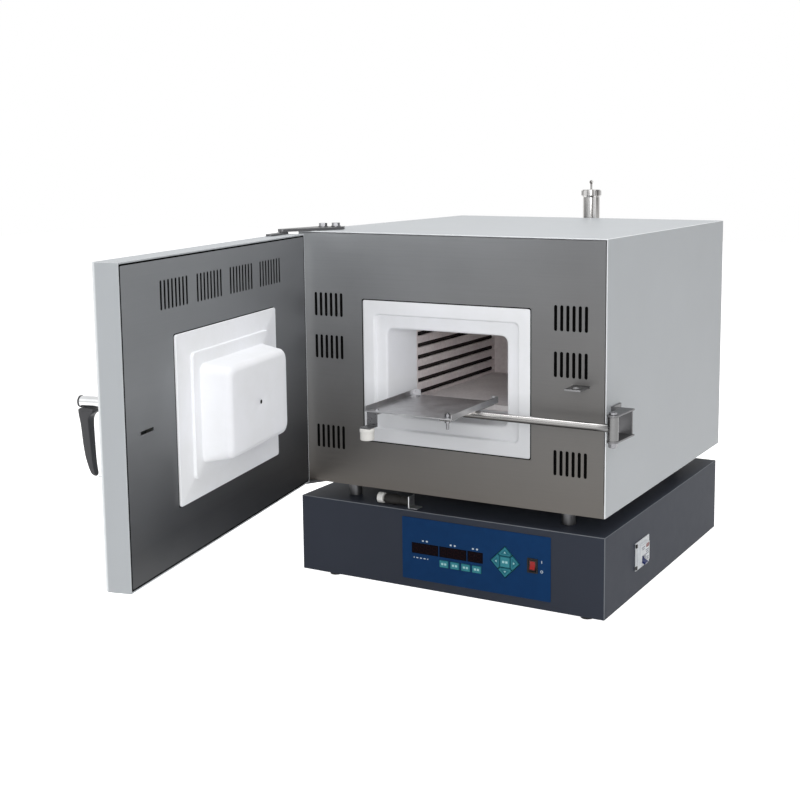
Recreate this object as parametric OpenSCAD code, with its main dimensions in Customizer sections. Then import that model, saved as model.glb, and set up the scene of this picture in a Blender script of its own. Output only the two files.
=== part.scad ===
// Bench muffle furnace on its control box: a swing door with a ceramic plug, a swing-out
// loading tray, a brick-lined chamber with heating coils, and a keypad controller below.
// +X is the right side, -Y is the front, +Z is up. The origin is on the floor, under the
// centre of the furnace casing.

/* [Furnace casing] */
// Width of the casing
case_w = 600; // [560:5:640]
// Depth of the casing, front panel to rear cover
case_d = 630; // [600:5:680]
// Height of the casing
case_h = 460; // [440:5:500]
// Thickness of the painted sheet
sheet_t = 2; // [1.5:0.1:2.5]
// Thickness of the stainless panels
panel_t = 1.5; // [1:0.1:1.5]

/* [Chamber] */
// Width of the heated chamber
chamber_w = 200; // [180:5:210]
// Height of the brick cavity, hearth plate included
chamber_h = 136; // [130:1:140]
// Depth of the heated chamber
chamber_d = 316; // [280:1:330]
// Width of the chamber mouth at the front
mouth_w = 235; // [230:1:240]
// Height of the chamber mouth at the front
mouth_h = 155; // [150:1:160]
// Depth of the tapered throat, front face to chamber
throat_d = 79; // [70:1:90]
// Number of coil grooves in each side wall
groove_count = 6; // [4:1:6]

/* [Door] */
// Width of the door
door_w = 628; // [600:1:628]
// Thickness of the door shell
door_t = 43; // [40:1:46]
// Angle that the door stands open at rest
door_open = 77.8; // [60:0.1:78]
// Gap between the front panel and the door's inner panel when shut
door_gap = 5; // [4.5:0.1:6]

/* [Loading tray] */
// Width of the tray along its arm
tray_w = 165; // [140:1:170]
// Depth of the tray across its arm
tray_d = 168; // [150:1:172]
// Distance from the arm's hinge to the middle of the tray
tray_reach = 320; // [310:1:330]

/* [Controller] */
// Width of the control box
ctrl_w = 604; // [590:1:610]
// Depth of the control box
ctrl_d = 612; // [590:1:620]
// Height of the control box
ctrl_h = 141; // [138:1:150]
// Height of the rubber feet
foot_h = 15; // [12:1:25]
// Height of the gap between the control box and the furnace
gap_h = 31; // [28:1:35]

/* [Hidden] */
$fn = 48;
fit = 0.05;            // radial clearance of a running fit
clear = 0.5;           // clearance round a key in the overlay
eps = 0.01;

front_y = -case_d / 2;
rear_y = case_d / 2;
ctrl_z = foot_h;
ctrl_top = ctrl_z + ctrl_h;
case_z = ctrl_top + gap_h;
case_top = case_z + case_h;
ctrl_front_y = front_y - 4;
ctrl_rear_y = ctrl_front_y + ctrl_d;

// chamber
mouth_z = case_z + 213.5;                    // middle height of the mouth, frame and plug
chamber_z = mouth_z - 67.5;                  // underside of the chamber cavity
chamber_y = front_y + throat_d;              // front end of the chamber
recess_d = 6;                                // depth of the recess round the mouth
collar_w = 329;
collar_h = 255;
collar_t = 30;
block_w = 290;                               // outer size of the brick lining
block_h = 216;
block_rear = chamber_y + chamber_d + 45;
hearth_t = 10;
groove_r = 5.5;
groove_pitch = 21.5;
groove_z = chamber_z + 19;                   // height of the lowest groove
flue_z = chamber_z + chamber_h - 22;

// door: its pieces are drawn shut, then turned about the hinge pins
door_x = -case_w / 2 - 13;                   // hinge edge of the shut door
door_y = front_y - door_gap;                 // inner face of the shut door
door_bottom = case_z + 2.5;
door_top = case_top - 4;
pin_x = -case_w / 2 - 4;
pin_y = front_y - 43;
pin_r = 4;
stud_r = 2.5;                                // the part of each hinge pin inside the door
strap_t = 5;
flange_t = 4;
step_t = 5;
plug_t = 45;
latch_x = 256;                               // middle of the catch tongue
latch_y = front_y - 22;
tongue_z = mouth_z + 4;
spindle_x = latch_x - 11.2;
spindle_z = mouth_z + 39;
latch_travel = 12;
hub_r = 8;                                   // the handle's turning hub
rosette_r = 12;

// tray arm: drawn with the arm along -X, then turned about its pin
arm_x = case_w / 2 + 27;
arm_y = front_y - 38;
arm_z = mouth_z - 51.5;
arm_r = 6.5;
tray_y = -16;                                // middle of the tray, forward of the arm
barrel_r = 9;
barrel_h = 38.6;
arm_pin_r = 4;
plate_t = 3;
tray_z = arm_z + arm_r + plate_t;            // underside of the tray
tray_t = 1.5;
tray_lip = 11;

// vents: one tool cuts every slot
slot_w = 5.7;
slot_h = 43;
slot_pitch = 10.9;

// control panel, measured from the overlay's middle
overlay_w = 290;
overlay_h = 113;
overlay_x = 60;
overlay_z = ctrl_z + 72.5;
overlay_t = 1;
key_w = 18;
key_h = 13;
key_pitch = 21.6;
key_x = overlay_x - 60.2;
key_z = overlay_z - 20;
pad_x = overlay_x + 59.5;
pad_z = overlay_z + 1.5;
pad_core = 20;
pad_reach = 28;
rocker_x = overlay_x + 111.5;
rocker_z = overlay_z + 3;
breaker_y = ctrl_front_y + 175;
breaker_z = ctrl_z + 68;

// ---- shared shapes ----

// a box between two corners
module box(low, high) {
    translate(low) cube(high - low);
}

// a rectangle round its middle, with round corners
module plate2d(w, h, r = 0) {
    if (r > 0)
        union() {
            square([w - 2 * r, h], center = true);
            square([w, h - 2 * r], center = true);
            for (x = [-1, 1], y = [-1, 1])
                translate([x * (w / 2 - r), y * (h / 2 - r)]) circle(r);
        }
    else
        square([w, h], center = true);
}

// a plate standing in the XZ plane: its front face at y, its back face at y + t
module upright(x, y, z, w, h, t, r = 0) {
    translate([x, y + t, z]) rotate([90, 0, 0]) linear_extrude(t) plate2d(w, h, r);
}

// a row of vertical round-ended slots through a plate in the XZ plane
module slot_row(x, y, z, count, depth) {
    for (i = [0:count - 1])
        upright(x + (i - (count - 1) / 2) * slot_pitch, y, z, slot_w, slot_h, depth, slot_w / 2 - eps);
}

// a cylinder along Y, from y to y + length
module rod_y(x, y, z, r, length) {
    translate([x, y, z]) rotate([-90, 0, 0]) cylinder(h = length, r = r);
}

// a cylinder along X, from x to x + length
module rod_x(x, y, z, r, length) {
    translate([x, y, z]) rotate([0, 90, 0]) cylinder(h = length, r = r);
}

// a hexagon head or nut along Z, standing on z
module hex(x, y, z, across, height) {
    translate([x, y, z]) rotate(30) cylinder(h = height, r = across / sqrt(3), $fn = 6);
}

// turns what is drawn on the shut door to where the door stands
module on_door() {
    translate([pin_x, pin_y, 0]) rotate(-door_open) translate([-pin_x, -pin_y, 0]) children();
}

// puts what is drawn along -X from the arm's hinge where the arm stands
module on_arm() {
    translate([arm_x, arm_y, 0]) children();
}

// ---- furnace casing ----

// one folded sheet: left side, top and right side, with narrow returns at both ends
module outer_shell() {
    color("#c9cbc8")
    difference() {
        box([-case_w / 2, front_y, case_z], [case_w / 2, rear_y, case_top]);
        box([-case_w / 2 + sheet_t, front_y - 1, case_z - 1],
            [case_w / 2 - sheet_t, rear_y + 1, case_top - sheet_t]);
    }
}

base_lip = 22;
module base_plate() {
    in = case_w / 2 - sheet_t;
    color("#b9bbb8")
    difference() {
        box([-in, front_y + panel_t, case_z], [in, rear_y - sheet_t, case_z + base_lip]);
        box([-in + sheet_t, front_y + panel_t + sheet_t, case_z + sheet_t],
            [in - sheet_t, rear_y - 2 * sheet_t, case_z + base_lip + 1]);
        for (x = [-1, 1], y = [-1, 1])
            translate([x * spacer_x, y * spacer_y, case_z - 1]) cylinder(h = sheet_t + 2, r = 4);
        for (i = [-4:4])
            box([i * 40 - 12, -30, case_z - 1], [i * 40 + 12, 30, case_z + sheet_t + 1]);
    }
}

vent_x = 237;
vent_z = [mouth_z + 115, mouth_z + 38, mouth_z - 128];
module front_panel() {
    in = case_w / 2 - sheet_t - 1;
    color("#8f8e8b")
    difference() {
        translate([0, 0, 0])
            box([-in, front_y, case_z], [in, front_y + panel_t, case_top - sheet_t - 1]);
        upright(0, front_y - 1, mouth_z, collar_w + 2, collar_h + 2, panel_t + 2);
        for (side = [-1, 1], z = vent_z)
            slot_row(side * vent_x, front_y - 1, z, 6, panel_t + 2);
        box([latch_x - 15, front_y - 1, tongue_z - 2], [latch_x + 15, front_y + panel_t + 1, tongue_z + 2]);
    }
}

module rear_cover() {
    in = case_w / 2 - sheet_t;
    color("#c9cbc8")
    difference() {
        box([-in, rear_y - sheet_t, case_z], [in, rear_y, case_top - sheet_t]);
        for (x = [-200, 200], z = [case_z + 80, case_z + 145, case_top - 80])
            slot_row(x, rear_y - sheet_t - 1, z, 12, sheet_t + 2);
        rod_y(0, rear_y - sheet_t - 1, pipe_z, pipe_r + 1, sheet_t + 2);
        rod_y(0, rear_y - sheet_t - 1, mouth_z - 20, 9, sheet_t + 2);
    }
}

// ---- chamber ----

// the white ceramic frame round the mouth, with its tapered throat
module throat_collar() {
    color("#eceff2")
    difference() {
        union() {
            upright(0, front_y, mouth_z, collar_w, collar_h, collar_t, 3);
            upright(0, front_y + collar_t - eps, chamber_z + chamber_h / 2,
                block_w, block_h, throat_d - collar_t + eps);
        }
        hull() {
            upright(0, front_y - 1, mouth_z, 276 + 8, 202 + 8, 0.1, 8);
            upright(0, front_y + recess_d - 0.1, mouth_z, 276 - 6, 202 - 6, 0.1, 8);
        }
        hull() {
            upright(0, front_y + recess_d - 0.2, mouth_z, mouth_w, mouth_h, 0.1, 12);
            upright(0, chamber_y, chamber_z + chamber_h / 2, chamber_w, chamber_h, 0.1, 4);
        }
    }
}

module muffle_lining() {
    mid = chamber_z + chamber_h / 2;
    color("#d8d0c8")
    difference() {
        box([-block_w / 2, chamber_y, mid - block_h / 2], [block_w / 2, block_rear, mid + block_h / 2]);
        box([-chamber_w / 2, chamber_y - 1, chamber_z],
            [chamber_w / 2, chamber_y + chamber_d, chamber_z + chamber_h]);
        for (side = [-1, 1], i = [0:groove_count - 1]) {
            z = groove_z + i * groove_pitch;
            rod_y(side * (chamber_w / 2 + 4), chamber_y + 4, z, groove_r, chamber_d - 8);
            box([side * chamber_w / 2 - 4, chamber_y + 4, z - 3.5],
                [side * chamber_w / 2 + 4, chamber_y + chamber_d - 4, z + 3.5]);
        }
        rod_y(0, chamber_y + chamber_d - 1, mouth_z - 20, 5, 60);
        rod_y(0, chamber_y + chamber_d - 1, flue_z, 12, 60);
    }
}

// one side's resistance coils: a run in each groove, joined by short bends
module coil_side(side) {
    x = side * (chamber_w / 2 + 4);
    length = chamber_d - 20;
    for (i = [0:groove_count - 1])
        rod_y(x, chamber_y + 10, groove_z + i * groove_pitch, 4, length);
}

module coil_left() {
    color("#2b2523") coil_side(-1);
}

module coil_right() {
    color("#2b2523") coil_side(1);
}

module hearth_plate() {
    color("#dcd6cf")
    box([-chamber_w / 2 + 2, chamber_y + 2, chamber_z],
        [chamber_w / 2 - 2, chamber_y + chamber_d - 6, chamber_z + hearth_t]);
}

module insulation_boards() {
    mid = chamber_z + chamber_h / 2;
    half_w = block_w / 2;
    half_h = block_h / 2;
    t = 72;
    y0 = front_y + collar_t;
    y1 = block_rear;
    color("#f0ede4") {
        for (side = [-1, 1])
            translate([side * (half_w + t / 2), (y0 + y1) / 2, mid])
                cube([t, y1 - y0, block_h + 2 * t], center = true);
        for (side = [-1, 1])
            translate([0, (y0 + y1) / 2, mid + side * (half_h + t / 2)])
                cube([block_w, y1 - y0, t], center = true);
        difference() {
            box([-half_w - t, y1, mid - half_h - t], [half_w + t, y1 + 60, mid + half_h + t]);
            rod_y(0, y1 - 1, mouth_z - 20, 5, 70);
            rod_y(0, y1 - 1, flue_z, pipe_r, 70);
        }
    }
}

// two folded channels that carry the lined chamber on the base plate
module support_rails() {
    top = chamber_z + chamber_h / 2 - block_h / 2 - 72;
    color("#9a9c9a")
    for (side = [-1, 1])
        translate([side * 150, 0, 0])
            difference() {
                box([-20, front_y + 40, case_z + sheet_t], [20, block_rear + 50, top]);
                box([-18, front_y + 39, case_z + sheet_t - 1], [18, block_rear + 51, top - 2]);
            }
}

// sheathed probe through the rear wall, with its round terminal head outside
module thermocouple() {
    z = mouth_z - 20;
    tip = chamber_y + chamber_d - 25;
    color("#b7b0a4") rod_y(0, tip, z, 4, rear_y - tip);
    color("#a9abad") {
        rod_y(0, rear_y, z, 11, 8);
        rod_y(0, rear_y + 8, z, 19, 26);
        rod_y(0, rear_y + 34, z, 21, 6);
    }
}

pipe_r = 18;
pipe_bore = 15.5;
pipe_z = flue_z;
pipe_y = rear_y + 30;
pipe_top = case_top + 57;
lip_h = 10;
// flue: out through the rear cover, round a mitred elbow and up past the top of the casing
module exhaust_pipe() {
    inner_y = block_rear;
    color("#c4c4c2")
    difference() {
        union() {
            translate([0, pipe_y, pipe_z]) cylinder(h = pipe_top - lip_h - pipe_z, r = pipe_r);
            translate([0, pipe_y, pipe_top - lip_h - 4]) cylinder(h = 4, r1 = pipe_r, r2 = 21.5);
            translate([0, pipe_y, pipe_top - lip_h]) cylinder(h = lip_h, r = 21.5);
            rod_y(0, inner_y, pipe_z, pipe_r, pipe_y - inner_y);
            translate([0, pipe_y, pipe_z]) sphere(pipe_r);
            rod_y(0, rear_y, pipe_z, 30, 3);
        }
        translate([0, pipe_y, pipe_z]) cylinder(h = 400, r = pipe_bore);
        rod_y(0, inner_y - 1, pipe_z, pipe_bore, pipe_y - inner_y + 1);
        translate([0, pipe_y, pipe_z]) sphere(pipe_bore);
    }
}

// loose lid of the flue: a plug, a disc, a stem and a ball to lift it by
module exhaust_lid() {
    color("#b5b5b3")
    translate([0, pipe_y, pipe_top])
    rotate_extrude()
        difference() {
            union() {
                translate([0, -12]) square([14.5, 12]);
                square([19, 2]);
                translate([0, 2]) square([2.2, 14]);
                translate([0, 18]) circle(4.2);
            }
            translate([-20, -20]) square([20, 60]);
        }
}

spacer_x = 215;
spacer_y = 268;
module spacers() {
    color("#55585b")
    for (x = [-1, 1], y = [-1, 1])
        translate([x * spacer_x, y * spacer_y, ctrl_top]) cylinder(h = gap_h, r = 12);
}

// flat tongue with a bolt hole; its foot is fixed behind the front panel
module catch_tongue() {
    color("#9c9c9a")
    difference() {
        union() {
            box([latch_x - 14, front_y - 38, tongue_z - 1.5],
                [latch_x + 14, front_y + panel_t, tongue_z + 1.5]);
            box([latch_x - 24, front_y + panel_t, tongue_z - 14],
                [latch_x + 24, front_y + panel_t + 3, tongue_z + 14]);
        }
        translate([latch_x, latch_y, tongue_z - 5]) cylinder(h = 10, r = 7);
    }
}

// ---- hinges of the door ----

strap_bolts = [[-276, 45], [-262, 66]];      // from the casing's middle, and back from its front
// flat strap with a round eye over the pin and a broad foot on the casing
module strap(z) {
    translate([0, 0, z])
    difference() {
        linear_extrude(strap_t)
            union() {
                translate([pin_x, pin_y]) circle(8);
                polygon([
                    [pin_x - 7.5, pin_y + 2.5], [pin_x + 5, pin_y - 6.2], [pin_x + 46, front_y + 20],
                    [pin_x + 62, front_y + 62], [pin_x + 50, front_y + 84], [pin_x + 6, front_y + 58]]);
            }
        translate([pin_x, pin_y, -1]) cylinder(h = strap_t + 2, r = pin_r + fit);
        for (b = strap_bolts)
            translate([b[0], front_y + b[1], -1]) cylinder(h = strap_t + 2, r = 4);
    }
}

module top_strap() {
    color("#8a8c8e") strap(case_top);
}

module bottom_strap() {
    color("#8a8c8e") strap(case_z - strap_t);
}

// hexagon bolts of the two straps, and the screws of the tray bracket
module frame_bolts() {
    color("#a4a6a8") {
        for (b = strap_bolts) {
            x = b[0];
            y = front_y + b[1];
            translate([x, y, case_top + strap_t]) cylinder(h = 1.5, r = 9);
            hex(x, y, case_top + strap_t + 1.5, 13, 5.5);
            translate([x, y, case_top]) cylinder(h = strap_t, r = 3.9);
            translate([x, y, case_z - strap_t - 1.5]) cylinder(h = 1.5, r = 9);
            hex(x, y, case_z - strap_t - 7, 13, 5.5);
            translate([x, y, case_z - strap_t]) cylinder(h = strap_t, r = 3.9);
        }
        for (z = bracket_screws)
            rod_x(case_w / 2 + plate_t, bracket_far + 20, z, 5, 3);
        rod_y(case_w / 2 + 16, bracket_far - 7, arm_z + 11, 4, 3);
    }
}

// ---- loading tray ----

bracket_z = arm_z - barrel_h / 2 - 0.3 - plate_t;
bracket_h = barrel_h + 0.6 + 2 * plate_t;
bracket_screws = [arm_z + 10, arm_z - 10];
bracket_far = front_y + 25;                  // rear face of the clevis
// clevis for the arm: two bars with a round nose, a web behind and a foot on the casing
module arm_bracket() {
    wall = case_w / 2;
    out = wall + 40;
    top = bracket_z + bracket_h;
    color("#9b9b99")
    difference() {
        union() {
            for (z = [bracket_z, top - plate_t])
                translate([0, 0, z]) linear_extrude(plate_t)
                    union() {
                        translate([arm_x, arm_y]) circle(10);
                        polygon([[arm_x - 10, arm_y], [arm_x + 10, arm_y], [out, bracket_far],
                            [wall + 14, bracket_far], [arm_x - 10, front_y - 2]]);
                    }
            box([wall, bracket_far - 4, bracket_z], [out - 3, bracket_far, top]);
            box([wall, bracket_far - 4, bracket_z], [wall + plate_t, bracket_far + 36, top]);
        }
        translate([arm_x, arm_y, bracket_z - 1]) cylinder(h = bracket_h + 2, r = arm_pin_r + fit);
    }
}

// socket-head pin through the clevis, with a washer and a nut below
module arm_pin() {
    low = bracket_z;
    color("#808285")
    difference() {
        union() {
            translate([arm_x, arm_y, low - 9]) cylinder(h = bracket_h + 9, r = arm_pin_r);
            translate([arm_x, arm_y, low + bracket_h]) cylinder(h = 4, r = 6.5);
            translate([arm_x, arm_y, low - 1.5]) cylinder(h = 1.5, r = 8.5);
            hex(arm_x, arm_y, low - 8, 13, 6.5);
        }
        translate([arm_x, arm_y, low + bracket_h + 1.5]) cylinder(h = 5, r = 3.2, $fn = 6);
    }
}

bar_x = [-tray_reach - tray_w / 2 + 15, -tray_reach + tray_w / 2 - 15];
bar_bolt_y = [tray_y - tray_d / 2 + 14, tray_y + tray_d / 2 - 16];
bolt_hole_r = 2.55;
// barrel, polished tube and the two flat bars under the tray, all welded
module tray_arm() {
    far = tray_reach + tray_w / 2 - 4;
    color("#b9b9b8")
    on_arm()
        difference() {
            union() {
                difference() {
                    rod_x(-far, 0, arm_z, arm_r, far);
                    rod_x(-far - 1, 0, arm_z, arm_r - 1.5, far + 1 - barrel_r);
                }
                translate([0, 0, arm_z - barrel_h / 2]) cylinder(h = barrel_h, r = barrel_r);
                for (x = bar_x)
                    box([x - 10, tray_y - tray_d / 2 + 4, arm_z + arm_r - 0.6],
                        [x + 10, tray_y + tray_d / 2 - 6, tray_z]);
            }
            translate([0, 0, arm_z - barrel_h]) cylinder(h = 2 * barrel_h, r = arm_pin_r + fit);
            for (x = bar_x, y = bar_bolt_y)
                translate([x, y, arm_z + arm_r - 2]) cylinder(h = 20, r = bolt_hole_r);
        }
}

// shallow sheet tray with a turned-up lip on each side, open at the front and at the back
module tray() {
    half_w = tray_w / 2;
    half_d = tray_d / 2;
    color("#a9aaa9")
    on_arm() translate([-tray_reach, tray_y, tray_z])
        difference() {
            union() {
                box([-half_w, -half_d, 0], [half_w, half_d, tray_t]);
                for (side = [-1, 1])
                    translate([side * (half_w - tray_t / 2), 0, 0]) rotate([90, 0, 90])
                        linear_extrude(tray_t, center = true)
                            polygon([[-half_d, 0], [half_d, 0], [half_d, tray_lip], [-half_d, 9]]);
                box([-half_w, half_d - tray_t, 0], [-half_w + 12, half_d, tray_lip]);
                box([half_w - 12, half_d - tray_t, 0], [half_w, half_d, tray_lip]);
            }
            for (x = bar_x, y = bar_bolt_y)
                translate([x + tray_reach, y - tray_y, -1]) cylinder(h = 5, r = bolt_hole_r);
        }
}

// a stud with its nuts at the corner by the knob's hand, and three low rivets
module tray_bolts() {
    top = tray_z + tray_t;
    under = arm_z + arm_r - 0.6;
    color("#77797b")
    on_arm() {
        for (x = bar_x, y = bar_bolt_y)
            if (x == bar_x[1] && y == bar_bolt_y[0]) {
                translate([x, y, under - 15]) cylinder(h = top - under + 22, r = 2.5);
                translate([x, y, top]) cylinder(h = 1.2, r = 5.5);
                hex(x, y, top + 1.2, 8, 4);
                hex(x, y, under - 4, 8, 4);
            } else {
                translate([x, y, under]) cylinder(h = top - under, r = 2.5);
                translate([x, y, top]) cylinder(h = 1.2, r1 = 4.5, r2 = 3);
                translate([x, y, under - 1.2]) cylinder(h = 1.2, r = 4);
            }
    }
}

knob_x = -tray_reach - tray_w / 2 + 14;
knob_y = tray_y - tray_d / 2 - 15;
knob_r = 14;
strap_low = tray_z - 24;                     // underside of the strap's foot, top of the knob
// strap fixed under the front edge, turned down and then forward over the knob
module knob_strap() {
    back = tray_y - tray_d / 2;
    color("#8b8c8c")
    on_arm()
        difference() {
            union() {
                box([knob_x - 10, back, strap_low], [knob_x + 10, back + 2, tray_z]);
                box([knob_x - 10, knob_y - 8, strap_low], [knob_x + 10, back + 2, strap_low + 2]);
                box([knob_x - 10, back, tray_z - 2], [knob_x + 10, back + 3.8, tray_z]);
            }
            translate([knob_x, knob_y, strap_low - 1]) cylinder(h = 4, r = 2.5);
        }
}

// white ceramic knob that the hot tray is swung by, on its screw
module tray_knob() {
    r = knob_r;
    color("#efeee8")
    on_arm()
        translate([knob_x, knob_y, strap_low])
            rotate_extrude()
                polygon([[0, 4.5], [2.5, 4.5], [2.5, 0], [r - 1, 0], [r, -1], [r, -7], [r - 1, -8.5],
                    [r - 1, -12], [r, -14], [r, -17.5], [r - 2.5, -20], [0, -20]]);
}

// ---- door ----

// painted pan with rounded outer corners and a narrow seat for the inner panel
module door_shell() {
    h = door_top - door_bottom;
    r = 10;
    color("#c9cbc8")
    on_door()
    translate([door_x, door_y, door_bottom])
    difference() {
        linear_extrude(h)
            union() {
                translate([0, -door_t + r]) square([door_w, door_t - r]);
                translate([r, -door_t]) square([door_w - 2 * r, r + eps]);
                for (x = [r, door_w - r]) translate([x, -door_t + r]) circle(r);
            }
        difference() {
            translate([0, 0, sheet_t]) linear_extrude(h - 2 * sheet_t)
                union() {
                    translate([sheet_t, -door_t + r]) square([door_w - 2 * sheet_t, door_t]);
                    translate([r, -door_t + sheet_t]) square([door_w - 2 * r, r]);
                    for (x = [r, door_w - r]) translate([x, -door_t + r]) circle(r - sheet_t);
                }
            for (x = [0, door_w - 14])
                box([x, -panel_t - sheet_t, 0], [x + 14, -panel_t, h]);
            for (z = [0, h - 14])
                box([0, -panel_t - sheet_t, z], [door_w, -panel_t, z + 14]);
        }
        for (z = [-1, h - sheet_t - 1])
            translate([pin_x - door_x, pin_y - door_y, z]) cylinder(h = sheet_t + 2, r = stud_r);
        rod_y(spindle_x - door_x, -door_t - 1, spindle_z - door_bottom, rosette_r, sheet_t + 2);
    }
}

module door_panel() {
    inset = 4;
    vent_mid = door_x + door_w / 2;
    color("#77767a")
    on_door()
    difference() {
        box([door_x + inset, door_y - panel_t, door_bottom + inset],
            [door_x + door_w - inset, door_y, door_top - inset]);
        for (i = [-1.5:1.5])
            slot_row(vent_mid + i * 110, door_y - panel_t - 1, mouth_z + 187.5, 8, panel_t + 2);
        box([latch_x - 18, door_y - panel_t - 1, tongue_z - 2.6], [latch_x + 18, door_y + 1, tongue_z + 2.6]);
        upright(0, door_y - panel_t - 1, mouth_z, 300, 200, panel_t + 2, 10);
    }
}

module door_insulation() {
    color("#f0ede4")
    on_door()
    box([-190, door_y - door_t + sheet_t, mouth_z - 140], [190, door_y - 8, mouth_z + 140]);
}

// moulded ceramic: a thin flange, a low step and the tapered plug with rounded edges
module door_plug() {
    y = door_y + flange_t;
    color("#eef0f3")
    on_door()
    difference() {
        union() {
            upright(0, door_y, mouth_z, 346, 254, flange_t, 4);
            upright(0, y - eps, mouth_z, 266, 190, step_t + eps, 6);
            upright(0, door_y - 7, mouth_z, 296, 196, 7 + eps, 8);
            hull() {
                upright(0, y + step_t - 1, mouth_z, 228, 150, 1, 12, $fn = 32);
                upright(0, y + step_t + plug_t - 9, mouth_z, 212, 141, 1, 14, $fn = 32);
                upright(0, y + step_t + plug_t - 3, mouth_z, 207, 136, 1, 14, $fn = 32);
                upright(0, y + step_t + plug_t - 1, mouth_z, 199, 128, 1, 11, $fn = 32);
            }
        }
        rod_y(0, y + step_t + plug_t - 25, mouth_z, 2.5, 40);
    }
}

// the door's two hinge plates, each with its pin
module door_pins() {
    top_t = case_top - door_top - 0.5;
    low_t = door_bottom - case_z - 0.5;
    color("#6f7174")
    on_door() {
        translate([pin_x, pin_y, door_top - 30]) cylinder(h = 30 + eps, r = stud_r);
        translate([pin_x, pin_y, door_top]) cylinder(h = case_top + strap_t - door_top, r = pin_r);
        translate([pin_x, pin_y, door_top]) hinge_plate(top_t);
        translate([pin_x, pin_y, door_bottom - eps]) cylinder(h = 30 + eps, r = stud_r);
        translate([pin_x, pin_y, case_z - strap_t])
            cylinder(h = door_bottom - case_z + strap_t, r = pin_r);
        translate([pin_x, pin_y, door_bottom - low_t]) hinge_plate(low_t);
    }
}

module hinge_plate(t) {
    linear_extrude(t)
        union() {
            translate([0, 3]) circle(8);
            translate([0, -5]) square([58, 16]);
            translate([58, 3]) circle(8);
        }
}

guide_z = tongue_z + 7;
guide_h = 12;
bolt_r = 5;
// block inside the door, fixed to its outer sheet, that the latch bolt slides in
module latch_guide() {
    out = door_y - door_t + sheet_t;
    color("#8d8f91")
    on_door()
    difference() {
        box([latch_x - 12, out, guide_z], [latch_x + 9, latch_y + 10, guide_z + guide_h]);
        translate([latch_x, latch_y, guide_z - 1]) cylinder(h = guide_h + 2, r = bolt_r + fit);
    }
}

crank_r = latch_travel;                      // the crank swings from 30 degrees up to 30 down
crank_pin_r = 2.5;
crank_y = latch_y - 8.5;                     // inner face of the crank's arm
// round bolt with a slotted head that the crank's pin rides in
module latch_bolt() {
    low = tongue_z + 4;
    pin_z = spindle_z + crank_r * sin(30);
    color("#b8b9ba")
    on_door()
    difference() {
        union() {
            translate([latch_x, latch_y, low]) cylinder(h = pin_z - 7 - low, r = bolt_r);
            box([latch_x - 8, latch_y - 6, pin_z - 7], [latch_x + 8, latch_y + 6, pin_z + 7]);
        }
        box([latch_x - 4, latch_y - 7, pin_z - crank_pin_r - 0.3],
            [latch_x + 4, latch_y + 7, pin_z + crank_pin_r + 0.3]);
    }
}

// round plate with a bearing sleeve, on the door's outer face
module handle_rosette() {
    out = door_y - door_t;
    color("#c2c4c6")
    on_door()
    difference() {
        union() {
            rod_y(spindle_x, out - 4, spindle_z, 17, 4);
            rod_y(spindle_x, out - 14, spindle_z, rosette_r, 21);
        }
        rod_y(spindle_x, out - 15, spindle_z, hub_r + fit, 23);
    }
}

hub_out = 66;
// chrome hub through the rosette, with the crank that moves the latch bolt
module handle_hub() {
    out = door_y - door_t;
    crank_z = spindle_z + crank_r * sin(30);
    crank_x = spindle_x + crank_r * cos(30);
    color("#d5d7d9")
    on_door() {
        rod_y(spindle_x, out - hub_out, spindle_z, hub_r, hub_out + crank_y - out);
        hull() {
            rod_y(spindle_x, crank_y - 5, spindle_z, hub_r, 5);
            rod_y(crank_x, crank_y - 5, crank_z, 4.5, 5);
        }
        rod_y(crank_x, crank_y, crank_z, crank_pin_r, 13);
    }
}

// lever, from its seat under the hub to its tip: height below the spindle, inner face and outer
// face measured out from the door, and half of its breadth
lever_rows = [[4, 42, 68, 10], [14, 42, 67.4, 10], [18, 48, 66.6, 9.8], [22, 51.5, 65.4, 9.5],
    [28, 53.2, 64, 9], [36, 54, 63.2, 8.6], [49, 53.8, 62.2, 8], [60, 53.5, 61.3, 7.6],
    [70, 53, 60.2, 7.2], [80, 52, 58.6, 6.9], [88, 51, 56.6, 6.6], [96, 49.2, 54.4, 6.3],
    [103, 47.2, 51.8, 5.6], [106.5, 46.2, 49.4, 3.5]];
// curved lever, tapered from the hub to its tip, with a thin collar over the hub's end
module handle_lever() {
    out = door_y - door_t;
    last = len(lever_rows) - 1;
    color("#4c4e50")
    on_door()
    difference() {
        union() {
            intersection() {
                translate([spindle_x + 20, 0, spindle_z]) rotate([90, 0, -90]) linear_extrude(40)
                    polygon(concat([for (i = [0:last]) [lever_rows[i][2] - out, -lever_rows[i][0]]],
                        [for (i = [last:-1:0]) [lever_rows[i][1] - out, -lever_rows[i][0]]]));
                translate([spindle_x, out, spindle_z]) rotate([90, 0, 0]) linear_extrude(80)
                    polygon(concat([for (i = [0:last]) [lever_rows[i][3], -lever_rows[i][0]]],
                        [for (i = [last:-1:0]) [-lever_rows[i][3], -lever_rows[i][0]]]));
            }
            rod_y(spindle_x, out - 68, spindle_z, 8.6, 2);
        }
        rod_y(spindle_x, out - hub_out, spindle_z, hub_r, hub_out);
    }
}

// ---- control box ----

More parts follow.
